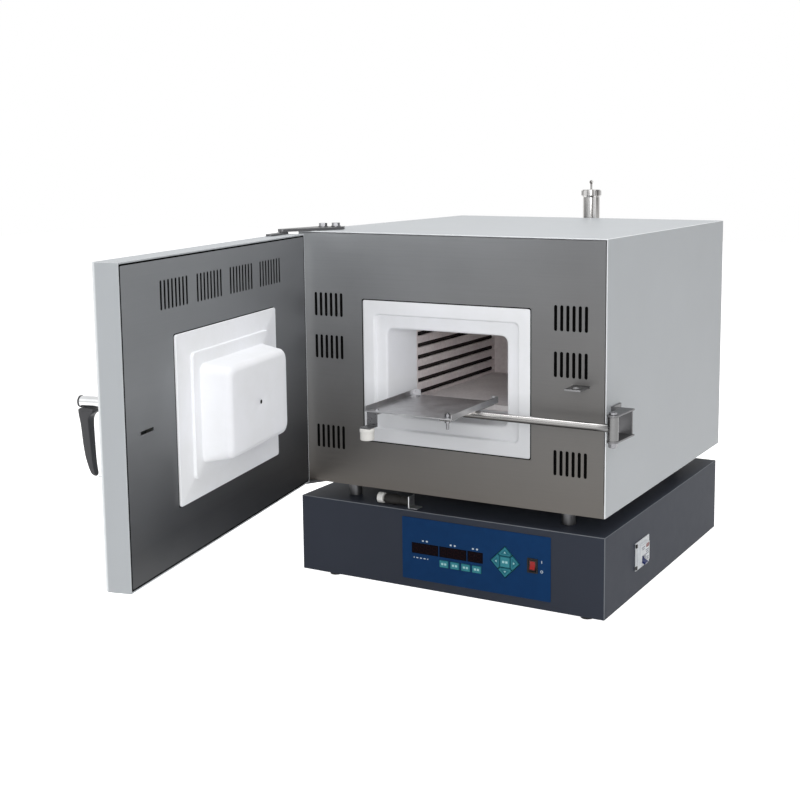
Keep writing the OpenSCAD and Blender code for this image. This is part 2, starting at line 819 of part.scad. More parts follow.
// folded case: front, sides, top and back in one painted shell, open below
module controller_case() {
    hw = ctrl_w / 2;
    color("#3f434b")
    difference() {
        box([-hw, ctrl_front_y, ctrl_z], [hw, ctrl_rear_y, ctrl_top]);
        box([-hw + sheet_t, ctrl_front_y + sheet_t, ctrl_z - 1],
            [hw - sheet_t, ctrl_rear_y - sheet_t, ctrl_top - sheet_t]);
        box([overlay_x - overlay_w / 2 + 8, ctrl_front_y - 1, overlay_z - overlay_h / 2 + 8],
            [overlay_x + overlay_w / 2 - 8, ctrl_front_y + sheet_t + 1, overlay_z + overlay_h / 2 - 8]);
        box([hw - sheet_t - 1, breaker_y - 28, breaker_z - 20], [hw + 1, breaker_y + 28, breaker_z + 20]);
        for (x = [-180, 180])
            slot_row(x, ctrl_rear_y - sheet_t - 1, ctrl_z + 75, 14, sheet_t + 2);
        rod_y(0, ctrl_rear_y - sheet_t - 1, ctrl_z + 40, 10, sheet_t + 2);
    }
}

module controller_base() {
    hw = ctrl_w / 2 - sheet_t - 0.3;
    color("#363a40")
    difference() {
        box([-hw, ctrl_front_y + sheet_t + 0.3, ctrl_z], [hw, ctrl_rear_y - sheet_t - 0.3, ctrl_z + sheet_t]);
        for (i = [-5:5])
            box([i * 36 - 11, 120, ctrl_z - 1], [i * 36 + 11, 126, ctrl_z + sheet_t + 1]);
    }
}

foot_x = 255;
foot_y = [front_y + 36, ctrl_rear_y - 40];
foot_at = [[-foot_x, foot_y[0]], [foot_x, foot_y[0]], [-foot_x, foot_y[1]], [foot_x, foot_y[1]], [0, 0]];
module rubber_feet() {
    color("#1d1e1f")
    for (p = foot_at)
        translate([p[0], p[1], 0]) cylinder(h = foot_h, r1 = 11.5, r2 = 13);
}

// ---- control panel ----

window_x = [overlay_x - 98.5, overlay_x - 42.5, overlay_x + 1.5];
window_w = [54.4, 54.4, 30.4];
window_h = 19.5;
window_z = overlay_z + 1.5;
rocker_w = 15;
rocker_h = 21;

module overlay_panel() {
    y = ctrl_front_y - overlay_t;
    color("#1d3f73")
    difference() {
        upright(overlay_x, y, overlay_z, overlay_w, overlay_h, overlay_t, 2);
        for (i = [0:2])
            upright(window_x[i], y - 1, window_z, window_w[i], window_h, 4);
        for (i = [0:3])
            upright(key_x + i * key_pitch, y - 1, key_z, key_w + 2 * clear, key_h + 2 * clear, 4);
        translate([pad_x, y + 2, pad_z]) rotate([90, 0, 0]) linear_extrude(4) pad_outline(clear);
        upright(rocker_x, y - 1, rocker_z, rocker_w + 3, rocker_h + 3, 4);
    }
}

// the diamond that the five pad keys share, grown by a margin
module pad_outline(margin) {
    reach = pad_reach + margin * 1.5;
    union() {
        rotate(45) square([reach * sqrt(2), reach * sqrt(2)], center = true);
    }
}

module display_windows() {
    color("#2b0a10")
    for (i = [0:2])
        upright(window_x[i], ctrl_front_y - overlay_t + 0.3, window_z, window_w[i], window_h, 2.5);
}

key_proud = 0.8;
key_t = 4;
module square_key(i) {
    color("#2d8688")
    upright(key_x + i * key_pitch, ctrl_front_y - overlay_t - key_proud, key_z, key_w, key_h, key_t, 1.5);
}
module key_1() { square_key(0); }
module key_2() { square_key(1); }
module key_3() { square_key(2); }
module key_4() { square_key(3); }

// one arm of the diamond: the corner beyond the square centre key, turned by a quarter turn
module pad_key(turn) {
    in = pad_core / 2;
    mid = pad_reach / 2;
    color("#2d8688")
    translate([pad_x, ctrl_front_y - overlay_t - key_proud + key_t, pad_z]) rotate([90, 0, 0])
        linear_extrude(key_t)
            rotate(turn)
                polygon([[in + 0.5, 0.5 - in], [mid + 0.3, 1 - mid], [pad_reach - 1, 0], [mid + 0.3, mid - 1],
                    [in + 0.5, in - 0.5]]);
}
module pad_right() { pad_key(0); }
module pad_up() { pad_key(90); }
module pad_left() { pad_key(180); }
module pad_down() { pad_key(270); }
module pad_centre() {
    color("#2d8688")
    upright(pad_x, ctrl_front_y - overlay_t - key_proud, pad_z, pad_core - 1, pad_core - 1, key_t, 1);
}

module rocker_bezel() {
    y = ctrl_front_y - overlay_t;
    color("#151618")
    difference() {
        union() {
            upright(rocker_x, y - 1.5, rocker_z, rocker_w + 5, rocker_h + 5, 1.5, 1.5);
            upright(rocker_x, y, rocker_z, rocker_w + 2.6, rocker_h + 2.6, 16);
        }
        upright(rocker_x, y - 2, rocker_z, rocker_w - 1, rocker_h - 1, 12);
        rod_x(rocker_x - 8.2, ctrl_front_y, rocker_z, pivot_r + fit, 16.4);
    }
}

rocker_tilt = 10;
pivot_r = 1.2;
// rocker with its two faces at an angle, resting with the lower end pressed in
module power_rocker() {
    w = rocker_w - 2;
    color("#c8221e") {
        translate([rocker_x, ctrl_front_y, rocker_z]) rotate([-rocker_tilt, 0, 0])
            translate([-w / 2, 0, 0]) rotate([90, 0, 90]) linear_extrude(w)
                polygon([[-1.2, 0], [-3.4, 8.6], [2.5, 8.6], [6, 4], [6, -4], [2.5, -8.6], [-3.4, -8.6]]);
        rod_x(rocker_x - 7.7, ctrl_front_y, rocker_z, pivot_r, 15.4);
    }
}

toggle_y = breaker_y - 5;
toggle_z = breaker_z - 10;
// two-pole breaker set in the right side of the box
module breaker_body() {
    x = ctrl_w / 2;
    color("#e6e7e5")
    difference() {
        union() {
            box([x, breaker_y - 33.5, breaker_z - 25], [x + 2, breaker_y + 33.5, breaker_z + 25]);
            box([x - 50, breaker_y - 27, breaker_z - 19], [x, breaker_y + 27, breaker_z + 19]);
            box([x + 2, breaker_y - 22, breaker_z - 17], [x + 7, breaker_y + 22, breaker_z + 17]);
        }
        box([x - 8, toggle_y - 10, toggle_z - 8], [x + 8, toggle_y + 10, toggle_z + 8]);
    }
}

module breaker_toggle() {
    x = ctrl_w / 2 - 1;
    color("#2a3f66")
    translate([x, 0, toggle_z]) rotate([0, 25, 0]) {
        rod_y(0, toggle_y - 9.5, 0, 4.5, 19);
        box([0, toggle_y - 7, -2], [14, toggle_y + 7, 2]);
    }
}

// ---- inside the control box ----

// laminated core with two windings, on a foot plate
module transformer() {
    z = ctrl_z + sheet_t;
    color("#6c5a48") {
        difference() {
            box([-190, -40, z + 4], [-60, 60, z + 104]);
            for (x = [-162, -110])
                box([x - 8, -41, z + 26], [x + 30, 61, z + 82]);
        }
        box([-200, -50, z], [-50, 70, z + 4]);
    }
}

// power control module on a finned heat sink
module power_unit() {
    z = ctrl_z + sheet_t;
    color("#a5a8ab") {
        box([60, -40, z], [180, 80, z + 8]);
        for (i = [0:9])
            box([62 + i * 12.4, -40, z + 8], [65 + i * 12.4, 80, z + 38]);
        box([85, -20, z + 38], [155, 60, z + 62]);
    }
}

module control_board() {
    y = ctrl_front_y + 12;
    color("#2f6b3c")
    difference() {
        upright(overlay_x - 15, y, overlay_z, 230, 88, 1.6);
        for (x = [-105, 105], z = [-36, 36])
            rod_y(overlay_x - 15 + x, y - 1, overlay_z + z, 1.6, 4);
    }
}

// bushing for the supply lead in the rear wall
module cable_gland() {
    y = ctrl_rear_y;
    z = ctrl_z + 40;
    color("#222325")
    difference() {
        union() {
            rod_y(0, y - 12, z, 9.8, 12);
            translate([0, y, z]) rotate([-90, 0, 0]) cylinder(h = 7, r = 14, $fn = 6);
            translate([0, y + 7, z]) rotate([-90, 0, 0]) cylinder(h = 12, r1 = 11, r2 = 8);
            translate([0, y - 6, z]) rotate([-90, 0, 0]) cylinder(h = 4, r = 14, $fn = 6);
        }
        rod_y(0, y - 13, z, 5, 40);
    }
}

// ---- door switch in the gap ----

switch_y = front_y + 13;
switch_z = ctrl_top + 11;
switch_x = -105;                             // left end of the switch body
plunger_r = 3.5;
// round switch body with a rubber boot, held by an angle on the control box
module door_switch() {
    color("#4a4c4e")
    difference() {
        union() {
            rod_x(switch_x, switch_y, switch_z, 8, 28);
            translate([switch_x - 24, switch_y, switch_z]) rotate([0, 90, 0])
                cylinder(h = 24 + eps, r1 = 8.6, r2 = 9.2);
            box([switch_x + 28, switch_y - 10, ctrl_top], [switch_x + 30, switch_y + 10, ctrl_top + 22]);
            box([switch_x + 28, switch_y - 10, ctrl_top], [switch_x + 46, switch_y + 10, ctrl_top + 2]);
        }
        rod_x(switch_x - 25, switch_y, switch_z, plunger_r + fit, 46);
    }
}

// plunger with a white ceramic head
module switch_head() {
    color("#eeeeea") {
        rod_x(switch_x - 28, switch_y, switch_z, plunger_r, 44);
        rod_x(switch_x - 38.4, switch_y, switch_z, 9.6, 12);
        rod_x(switch_x - 42, switch_y, switch_z, 3.5, 4);
    }
}

outer_shell();
base_plate();
front_panel();
rear_cover();
throat_collar();
muffle_lining();
coil_left();
coil_right();
hearth_plate();
insulation_boards();
support_rails();
thermocouple();
exhaust_pipe();
exhaust_lid();
spacers();
catch_tongue();
top_strap();
bottom_strap();
frame_bolts();
arm_bracket();
arm_pin();
tray_arm();
tray();
tray_bolts();
knob_strap();
tray_knob();
door_shell();
door_panel();
door_insulation();
door_plug();
door_pins();
latch_guide();
latch_bolt();
handle_rosette();
handle_hub();
handle_lever();
controller_case();
controller_base();
rubber_feet();
overlay_panel();
display_windows();
key_1();
key_2();
key_3();
key_4();
pad_up();
pad_down();
pad_left();
pad_right();
pad_centre();
rocker_bezel();
power_rocker();
breaker_body();
breaker_toggle();
transformer();
power_unit();
control_board();
cable_gland();
door_switch();
switch_head();
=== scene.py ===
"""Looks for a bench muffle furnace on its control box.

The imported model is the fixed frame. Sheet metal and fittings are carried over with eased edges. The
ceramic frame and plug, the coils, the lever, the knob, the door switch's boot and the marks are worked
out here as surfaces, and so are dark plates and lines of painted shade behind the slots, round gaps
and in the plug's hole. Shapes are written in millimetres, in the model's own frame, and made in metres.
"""

import math

import bmesh
import bpy
import numpy as np
from mathutils import Matrix, Vector


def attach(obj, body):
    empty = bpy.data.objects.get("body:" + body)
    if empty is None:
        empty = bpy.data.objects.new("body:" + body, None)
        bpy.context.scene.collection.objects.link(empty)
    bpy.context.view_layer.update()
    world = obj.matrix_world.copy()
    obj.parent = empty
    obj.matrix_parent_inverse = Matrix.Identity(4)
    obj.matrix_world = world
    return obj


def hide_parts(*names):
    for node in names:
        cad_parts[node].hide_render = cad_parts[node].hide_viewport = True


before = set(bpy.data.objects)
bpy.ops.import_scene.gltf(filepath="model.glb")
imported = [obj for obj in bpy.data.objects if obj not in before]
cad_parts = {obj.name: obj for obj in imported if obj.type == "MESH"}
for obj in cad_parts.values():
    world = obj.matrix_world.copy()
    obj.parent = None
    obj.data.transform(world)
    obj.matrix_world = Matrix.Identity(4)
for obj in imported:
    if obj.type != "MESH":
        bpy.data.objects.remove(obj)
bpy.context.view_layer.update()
MM = 0.001

# ---- sizes shared with the frame ----

FRONT_Y = -315.0                     # face of the front panel
REAR_Y = 315.0                       # face of the rear cover
MOUTH_Z = 400.5                      # middle of the mouth, the frame and the plug
CHAMBER_Y, CHAMBER_D = -236.0, 316.0    # front of the lining, and its depth
CHAMBER_MID_Z = 401.0
DOOR_Y, DOOR_T = -320.0, 43.0        # inner face of the shut door, and its thickness
DOOR_OUTER_Y = DOOR_Y - DOOR_T
PIN = np.array([-304.0, -358.0])     # the door's pin line
DOOR_OPEN = math.radians(77.8)
SPINDLE_X, SPINDLE_Z = 244.8, 439.5  # the handle's spindle, on the shut door
CONTROL_FRONT_Y, CONTROL_REAR_Y = -319.0, 293.0    # faces of the control box
OVERLAY_Y = CONTROL_FRONT_Y - 1.0    # face of the printed film
KEY_Y = OVERLAY_Y - 0.8              # face of the keys
SHARP = math.radians(38)             # edges that bend more than this are edges, not curves


# ---- camera ----

def add_camera():
    """Looks at the furnace from its front right, a little above the casing's middle."""
    yaw, pitch, roll = 0.491934, 0.135957, -0.005538    # radians
    place = (1.0544, -2.2230, 0.7813)                   # metres
    ahead = np.array([-math.sin(yaw) * math.cos(pitch), math.cos(yaw) * math.cos(pitch),
                      -math.sin(pitch)])
    right = np.array([math.cos(yaw), math.sin(yaw), 0.0])
    up = np.cross(right, ahead)
    turned_right = right * math.cos(roll) + up * math.sin(roll)
    turned_up = up * math.cos(roll) - right * math.sin(roll)
    columns = np.stack([turned_right, turned_up, -ahead], axis=1)
    data = bpy.data.cameras.new("camera")
    data.sensor_width = 36.0
    data.lens = 57.553
    data.shift_x, data.shift_y = -0.07514, -0.08765
    camera = bpy.data.objects.new("camera", data)
    camera.matrix_world = Matrix.Translation(place) @ Matrix(columns.tolist()).to_4x4()
    bpy.context.collection.objects.link(camera)
    bpy.context.scene.camera = camera


# ---- making meshes ----

def quads(rows, cols, wrap_rows=False):
    """Faces of a grid of rows by cols points, joined round its columns and, where asked, its rows:
    each face takes a point, its neighbours along the two directions and the one across."""
    r = np.arange(rows if wrap_rows else rows - 1)[:, None]
    c = np.arange(cols)[None, :]
    r2, c2 = (r + 1) % rows, (c + 1) % cols
    corners = [r * cols + c, r * cols + c2, r2 * cols + c2, r2 * cols + c]
    return np.stack(corners, axis=-1).reshape(-1, 4)


def shell(rings, wrap=False):
    """A closed skin over a stack of rings, given as rings by points by xyz. Its ends are flat, or its
    last ring joins its first."""
    rings = np.asarray(rings, float)
    rows, cols = rings.shape[:2]
    faces = quads(rows, cols, wrap_rows=wrap).tolist()
    if not wrap:
        faces.append(list(range(cols))[::-1])
        faces.append(list(range((rows - 1) * cols, rows * cols)))
    return rings.reshape(-1, 3), faces


def gathered(parts):
    """Several (points, faces) pairs as one pair."""
    starts = np.cumsum([0] + [len(points) for points, _ in parts[:-1]])
    points = np.concatenate([points for points, _ in parts])
    faces = [[i + int(start) for i in face]
             for start, (_, part) in zip(starts, parts) for face in part]
    return points, faces


def finish_piece(obj, body, finish, stands_for, bevel, segments=2):
    """Gives a new piece its finish, eased edges and body, and hides the nodes it stands for."""
    obj.data.materials.clear()
    obj.data.materials.append(finish)
    obj.data.polygons.foreach_set("use_smooth", np.ones(len(obj.data.polygons), bool))
    obj.data.set_sharp_from_angle(angle=SHARP)
    if bevel:
        ease = obj.modifiers.new("eased edges", "BEVEL")
        ease.width = bevel * MM
        ease.segments = segments
        ease.limit_method = "ANGLE"
        ease.angle_limit = SHARP
        ease.harden_normals = True
    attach(obj, body)
    if stands_for:
        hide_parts(*stands_for)
    return obj


def piece(name, part, body, finish, stands_for=(), bevel=0.0, place=None):
    """A new mesh from (points, faces) in millimetres, first carried to its place where a function for
    that is given, then welded, with its faces pointing outwards."""
    points, faces = part
    if place is not None:
        points = place(points)
    mesh = bpy.data.meshes.new(name)
    mesh.from_pydata((points * MM).tolist(), [], faces)
    work = bmesh.new()
    work.from_mesh(mesh)
    bmesh.ops.remove_doubles(work, verts=work.verts, dist=2e-6)
    bmesh.ops.recalc_face_normals(work, faces=work.faces)
    work.to_mesh(mesh)
    work.free()
    obj = bpy.data.objects.new(name, mesh)
    bpy.context.collection.objects.link(obj)
    return finish_piece(obj, body, finish, stands_for, bevel)


def box_edges(mesh):
    """One for each edge that lies in two sides of the mesh's own box, and zero for the rest: an edge
    lies in a side where both of its ends have that side's coordinate."""
    ends = np.empty(2 * len(mesh.edges), np.int32)
    mesh.edges.foreach_get("vertices", ends)
    points = np.empty(3 * len(mesh.vertices), np.float32)
    mesh.vertices.foreach_get("co", points)
    points = points.reshape(-1, 3)
    low, high = ((np.abs(points - side) < 1e-5)[ends.reshape(-1, 2)].all(axis=1)
                 for side in (points.min(axis=0), points.max(axis=0)))
    return ((low | high).sum(axis=1) >= 2).astype(np.float32)


def eased(node, body, finish, bevel, segments=2, outer_only=False):
    """A copy of a node's mesh, merged into clean flat faces, with its edges rounded over: all of
    them, or only the ones that make its outer box."""
    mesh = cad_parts[node].data.copy()
    mesh.name = node + "_eased"
    work = bmesh.new()
    work.from_mesh(mesh)
    bmesh.ops.remove_doubles(work, verts=work.verts, dist=5e-6)
    bmesh.ops.dissolve_limit(work, angle_limit=math.radians(0.6), verts=work.verts, edges=work.edges)
    work.to_mesh(mesh)
    work.free()
    if "custom_normal" in mesh.attributes:
        mesh.attributes.remove(mesh.attributes["custom_normal"])
    obj = bpy.data.objects.new(node + "_eased", mesh)
    bpy.context.collection.objects.link(obj)
    finish_piece(obj, body, finish, (node,), bevel, segments)
    if outer_only:
        weights = mesh.attributes.new("bevel_weight_edge", "FLOAT", "EDGE")
        weights.data.foreach_set("value", box_edges(mesh))
        obj.modifiers["eased edges"].limit_method = "WEIGHT"
        obj.modifiers["eased edges"].use_clamp_overlap = False
    return obj


# ---- outlines and paths ----

def round_rect(w, h, r, corner=7):
    """Points round a rectangle with round corners: each corner is a quarter circle of its own."""
    turn = np.linspace(0, math.pi / 2, corner)
    quarter = np.stack([np.cos(turn), np.sin(turn)], axis=1)
    sides = []
    for k, (sx, sy) in enumerate([(1, 1), (-1, 1), (-1, -1), (1, -1)]):
        c, s = math.cos(k * math.pi / 2), math.sin(k * math.pi / 2)
        arc = quarter @ np.array([[c, s], [-s, c]]) * r
        sides.append(arc + [sx * (w / 2 - r), sy * (h / 2 - r)])
    return np.concatenate(sides)


def upright_rings(rows, x=0.0, corner=7):
    """Rings in XZ planes, one for each row of (width, height, corner radius, y, middle z)."""
    rings = []
    for w, h, r, y, z in rows:
        outline = round_rect(w, h, r, corner)
        across, up = outline[:, 0] + x, outline[:, 1] + z
        rings.append(np.stack([across, np.full(len(outline), y), up], axis=1))
    return np.array(rings)


def lathe(profile, centre, axis="z", sides=48):
    """A profile of (radius, distance along the axis), turned a full circle round the axis."""
    profile = np.asarray(profile, float)
    turn = np.linspace(0, 2 * math.pi, sides, endpoint=False)
    r, along = profile[:, :1], np.repeat(profile[:, 1:2], sides, axis=1)
    a, b = r * np.cos(turn), r * np.sin(turn)
    order = {"z": (a, b, along), "y": (a, along, b), "x": (along, a, b)}[axis]
    return shell(np.stack(order, axis=-1) + np.asarray(centre, float))


def tube(path, radius, sides=12):
    """A circle carried along a path, square to the path's direction at each point."""
    path = np.asarray(path, float)
    along = np.gradient(path, axis=0)
    along /= np.linalg.norm(along, axis=1)[:, None]
    side = np.cross(along, np.where(np.abs(along[:, 2:]) > 0.9, [[1.0, 0, 0]], [[0, 0, 1.0]]))
    side /= np.linalg.norm(side, axis=1)[:, None]
    over = np.cross(side, along)
    turn = np.linspace(0, 2 * math.pi, sides, endpoint=False)
    circle = np.cos(turn)[:, None] * side[:, None] + np.sin(turn)[:, None] * over[:, None]
    return shell(path[:, None] + radius * circle)


def stamp(outlines, y, raised=0.1):
    """Thin flat prints in an XZ plane: each outline, a list of (x, z), stands a little out from y."""
    parts = []
    for outline in outlines:
        flat = np.asarray(outline, float)
        parts.append(shell([np.stack([flat[:, 0], np.full(len(flat), at), flat[:, 1]], axis=1)
                            for at in (y + 0.2, y - raised)]))
    return gathered(parts)


def block(x, z, w, h, r=0.4):
    """The outline of a small rounded rectangle round (x, z)."""
    return round_rect(w, h, r, 4) + [x, z]


def moved(outline, x, z, turn=0.0):
    """An outline turned by an angle about (0, 0) and then moved to (x, z)."""
    c, s = math.cos(turn), math.sin(turn)
    return np.asarray(outline, float) @ np.array([[c, s], [-s, c]]) + [x, z]


def extruded(outline, low, high, axis):
    """A prism: an outline in the plane across an axis, from one distance along it to another."""
    flat = np.asarray(outline, float)
    order = {"x": (2, 0, 1), "y": (0, 2, 1), "z": (0, 1, 2)}[axis]
    rings = [np.column_stack([flat, np.full(len(flat), at)])[:, order] for at in (low, high)]
    return shell(rings)


def on_door(points):
    """Turns points drawn on the shut door to where the open door stands."""
    c, s = math.cos(-DOOR_OPEN), math.sin(-DOOR_OPEN)
    turned = points.copy()
    turned[:, :2] = (points[:, :2] - PIN) @ np.array([[c, s], [-s, c]]) + PIN
    return turned


# ---- finishes ----

def new_finish(name, colour, roughness, metallic=0.0, specular=0.5):
    """A material whose shader starts with even values, and its node tree, ready for a pattern."""
    finish = bpy.data.materials.new(name)
    finish.use_nodes = True
    shader = finish.node_tree.nodes["Principled BSDF"]
    shader.inputs["Base Color"].default_value = (*colour, 1.0)
    shader.inputs["Roughness"].default_value = roughness
    shader.inputs["Metallic"].default_value = metallic
    shader.inputs["Specular IOR Level"].default_value = specular
    return finish, finish.node_tree, shader


def place_coords(tree, turn=0.0, stretch=(1, 1, 1)):
    """Object coordinates, turned about the vertical first and then stretched."""
    coords = tree.nodes.new("ShaderNodeTexCoord").outputs["Object"]
    for rotation, scale in (((0, 0, turn), (1, 1, 1)), ((0, 0, 0), stretch)):
        mapping = tree.nodes.new("ShaderNodeMapping")
        mapping.inputs["Rotation"].default_value = rotation
        mapping.inputs["Scale"].default_value = scale
        tree.links.new(coords, mapping.inputs["Vector"])
        coords = mapping.outputs["Vector"]
    return coords


def noise(tree, coords, scale, detail=3.0, rough=0.55):
    """Cloudy noise read at the given coordinates."""
    node = tree.nodes.new("ShaderNodeTexNoise")
    node.inputs["Scale"].default_value = scale
    node.inputs["Detail"].default_value = detail
    node.inputs["Roughness"].default_value = rough
    tree.links.new(coords, node.inputs["Vector"])
    return node.outputs["Fac"]


def ramp(tree, value, stops):
    """Maps a value through two (position, colour) stops; a plain number stands for a grey."""
    node = tree.nodes.new("ShaderNodeValToRGB")
    for element, (at, colour) in zip(node.color_ramp.elements, stops):
        element.position = at
        element.color = (colour,) * 3 + (1.0,) if isinstance(colour, float) else (*colour, 1.0)
    tree.links.new(value, node.inputs["Fac"])
    return node.outputs["Color"]


def bump(tree, shader, height, strength, distance):
    """Raises the surface by a pattern, with distance in metres."""
    node = tree.nodes.new("ShaderNodeBump")
    node.inputs["Strength"].default_value = strength
    node.inputs["Distance"].default_value = distance
    tree.links.new(height, node.inputs["Height"])
    tree.links.new(node.outputs["Normal"], shader.inputs["Normal"])


def mixed(tree, a, b, factor, mode="MIX"):
    """Two colours, or two greys, blended by a factor. The node keeps its colours at sockets 6 and 7."""
    node = tree.nodes.new("ShaderNodeMix")
    node.data_type = "RGBA"
    node.blend_type = mode
    for value, socket in ((factor, node.inputs[0]), (a, node.inputs[6]), (b, node.inputs[7])):
        if isinstance(value, (int, float)):
            socket.default_value = value
        elif isinstance(value, tuple):
            socket.default_value = (*value, 1.0)
        else:
            tree.links.new(value, socket)
    return node.outputs[2]


def shade_of(colour, factor):
    """A lighter or darker version of a colour."""
    return tuple(min(1.0, c * factor) for c in colour)


def span(tree, value, start, end):
    """Zero to one as a value goes from a start to an end, and level beyond them."""
    level = tree.nodes.new("ShaderNodeMapRange")
    level.inputs["From Min"].default_value = start
    level.inputs["From Max"].default_value = end
    tree.links.new(value, level.inputs["Value"])
    return level.outputs["Result"]


def parts_of(tree, vector):
    """The three parts of a vector, as a node's X, Y and Z outputs."""
    split = tree.nodes.new("ShaderNodeSeparateXYZ")
    tree.links.new(vector, split.inputs[0])
    return split.outputs


def calculated(tree, kind, first, second=None):
    """One of the Math node's operations on a value and, where there is one, a value or a number."""
    node = tree.nodes.new("ShaderNodeMath")
    node.operation = kind
    tree.links.new(first, node.inputs[0])
    if isinstance(second, float):
        node.inputs[1].default_value = second
    elif second is not None:
        tree.links.new(second, node.inputs[1])
    return node.outputs[0]


def level_along(tree, axis, start, end):
    """Zero to one along an object axis, from a start to an end in metres."""
    return span(tree, parts_of(tree, place_coords(tree))[axis], start, end)


def eased_edge(tree, turn):
    """One along eased edges and zero on flat faces: the surface's direction is turned into the sheet's
    own axes, and its largest part is 1 on a flat face and falls to 0.93 and below round an edge."""
    facing = tree.nodes.new("ShaderNodeMapping")
    facing.vector_type = "VECTOR"
    facing.inputs["Rotation"].default_value = (0, 0, turn)
    tree.links.new(tree.nodes.new("ShaderNodeTexCoord").outputs["Normal"], facing.inputs["Vector"])
    size = tree.nodes.new("ShaderNodeVectorMath")
    size.operation = "ABSOLUTE"
    tree.links.new(facing.outputs["Vector"], size.inputs[0])
    x, y, z = parts_of(tree, size.outputs[0])
    largest = calculated(tree, "MAXIMUM", calculated(tree, "MAXIMUM", x, y), z)
    return span(tree, largest, 0.995, 0.93)


def painted_sheet(name, colour, roughness=0.42, grain=900.0, specular=0.3, edge=None, turn=0.0):
    """Stoved paint: a fine orange peel, with faint cloudiness in its tone and, where an edge tone is
    given, a painted highlight: a paler tone along the eased edges, where light catches them."""
    finish, tree, shader = new_finish(name, colour, roughness, specular=specular)
    coords = place_coords(tree)
    clouds = noise(tree, coords, 5.0, 4.0)
    tone = ramp(tree, clouds, [(0.3, shade_of(colour, 0.975)), (0.7, shade_of(colour, 1.02))])
    # painted highlight: the edge tone is laid along the eased edges, where light would catch them
    if edge:
        tone = mixed(tree, tone, edge, eased_edge(tree, turn))
    tree.links.new(tone, shader.inputs["Base Color"])
    shine = ramp(tree, noise(tree, coords, 40.0), [(0.3, roughness - 0.015), (0.7, roughness + 0.015)])
    tree.links.new(shine, shader.inputs["Roughness"])
    bump(tree, shader, noise(tree, coords, grain, 1.5), 0.03, 0.0002)
    return finish


def brushed_metal(name, foot, head, heights=(0.19, 0.64), across=(-0.25, 0.25), turn=0.0):
    """Satin sheet metal with long fine brush lines. Its tone changes slowly with height, from the
    foot pair to the head pair, and each pair is the tone at the left and at the right. These tones are
    painted light and shade: the sheet is lighter where it is lit and darker where it is shaded."""
    finish, tree, shader = new_finish(name, foot[0], 0.42, metallic=0.5)
    lines = noise(tree, place_coords(tree, turn, (9, 900, 900)), 1.0, 4.0, 0.6)
    clouds = noise(tree, place_coords(tree, turn), 4.5, 4.0)
    side = level_along(tree, "X", *across)
    height = level_along(tree, "Z", *heights)
    # painted light and shade: the tone pairs make the sheet lighter or darker by height and by side
    tone = mixed(tree, mixed(tree, *foot, side), mixed(tree, *head, side), height)
    tone = mixed(tree, tone, ramp(tree, lines, [(0.3, 0.94), (0.7, 1.0)]), 1.0, "MULTIPLY")
    tone = mixed(tree, tone, ramp(tree, clouds, [(0.35, 0.92), (0.65, 1.0)]), 1.0, "MULTIPLY")
    tree.links.new(tone, shader.inputs["Base Color"])
    shine = ramp(tree, mixed(tree, lines, clouds, 0.6), [(0.3, 0.37), (0.7, 0.50)])
    tree.links.new(shine, shader.inputs["Roughness"])
    bump(tree, shader, lines, 0.04, 0.0002)
    return finish


def plain_metal(name, colour, roughness, grain=300.0):
    """Turned or plated metal: small scratches in its shine and a faint mottle in its tone."""
    finish, tree, shader = new_finish(name, colour, roughness, metallic=1.0)
    coords = place_coords(tree)
    fine = noise(tree, coords, grain, 4.0)
    mottle = noise(tree, coords, 30.0)
    tone = ramp(tree, mottle, [(0.3, shade_of(colour, 0.88)), (0.7, shade_of(colour, 1.08))])
    tree.links.new(tone, shader.inputs["Base Color"])
    shine = ramp(tree, fine, [(0.3, max(0.03, roughness - 0.06)), (0.7, roughness + 0.08)])
    tree.links.new(shine, shader.inputs["Roughness"])
    bump(tree, shader, fine, 0.05, 0.0002)
    return finish


def polished_arm(name, below, above, barrel):
    """Polished tube with drawn lines along it and a darker barrel at its hinge end; its underside is a
    painted dark reflection, as if it mirrored a dark floor."""
    finish, tree, shader = new_finish(name, above, 0.16, metallic=1.0)
    lines = noise(tree, place_coords(tree, 0.0, (6, 500, 500)), 1.0, 3.0)
    # painted reflection: the underside is darkened to the below tone, as a mirrored dark floor would
    # make it
    tone = mixed(tree, below, above, level_along(tree, "Z", 0.3455, 0.3535))
    tone = mixed(tree, tone, barrel, level_along(tree, "X", 0.300, 0.317))
    tone = mixed(tree, tone, ramp(tree, lines, [(0.3, 0.86), (0.7, 1.0)]), 1.0, "MULTIPLY")
    tree.links.new(tone, shader.inputs["Base Color"])
    tree.links.new(ramp(tree, lines, [(0.3, 0.13), (0.7, 0.22)]), shader.inputs["Roughness"])
    return finish


def streaked_metal(name, dark, bright, roughness):
    """Drawn pipe: soft upright streaks between a dark and a bright tone, partly drawing marks and
    partly painted reflection bands, and a fine mottle in its shine."""
    finish, tree, shader = new_finish(name, bright, roughness, metallic=1.0)
    streaks = noise(tree, place_coords(tree, 0.0, (90, 90, 3)), 1.0, 2.0)
    tree.links.new(ramp(tree, streaks, [(0.40, dark), (0.56, bright)]), shader.inputs["Base Color"])
    fine = noise(tree, place_coords(tree), 260.0, 3.0)
    shine = ramp(tree, fine, [(0.3, roughness - 0.05), (0.7, roughness + 0.08)])
    tree.links.new(shine, shader.inputs["Roughness"])
    return finish


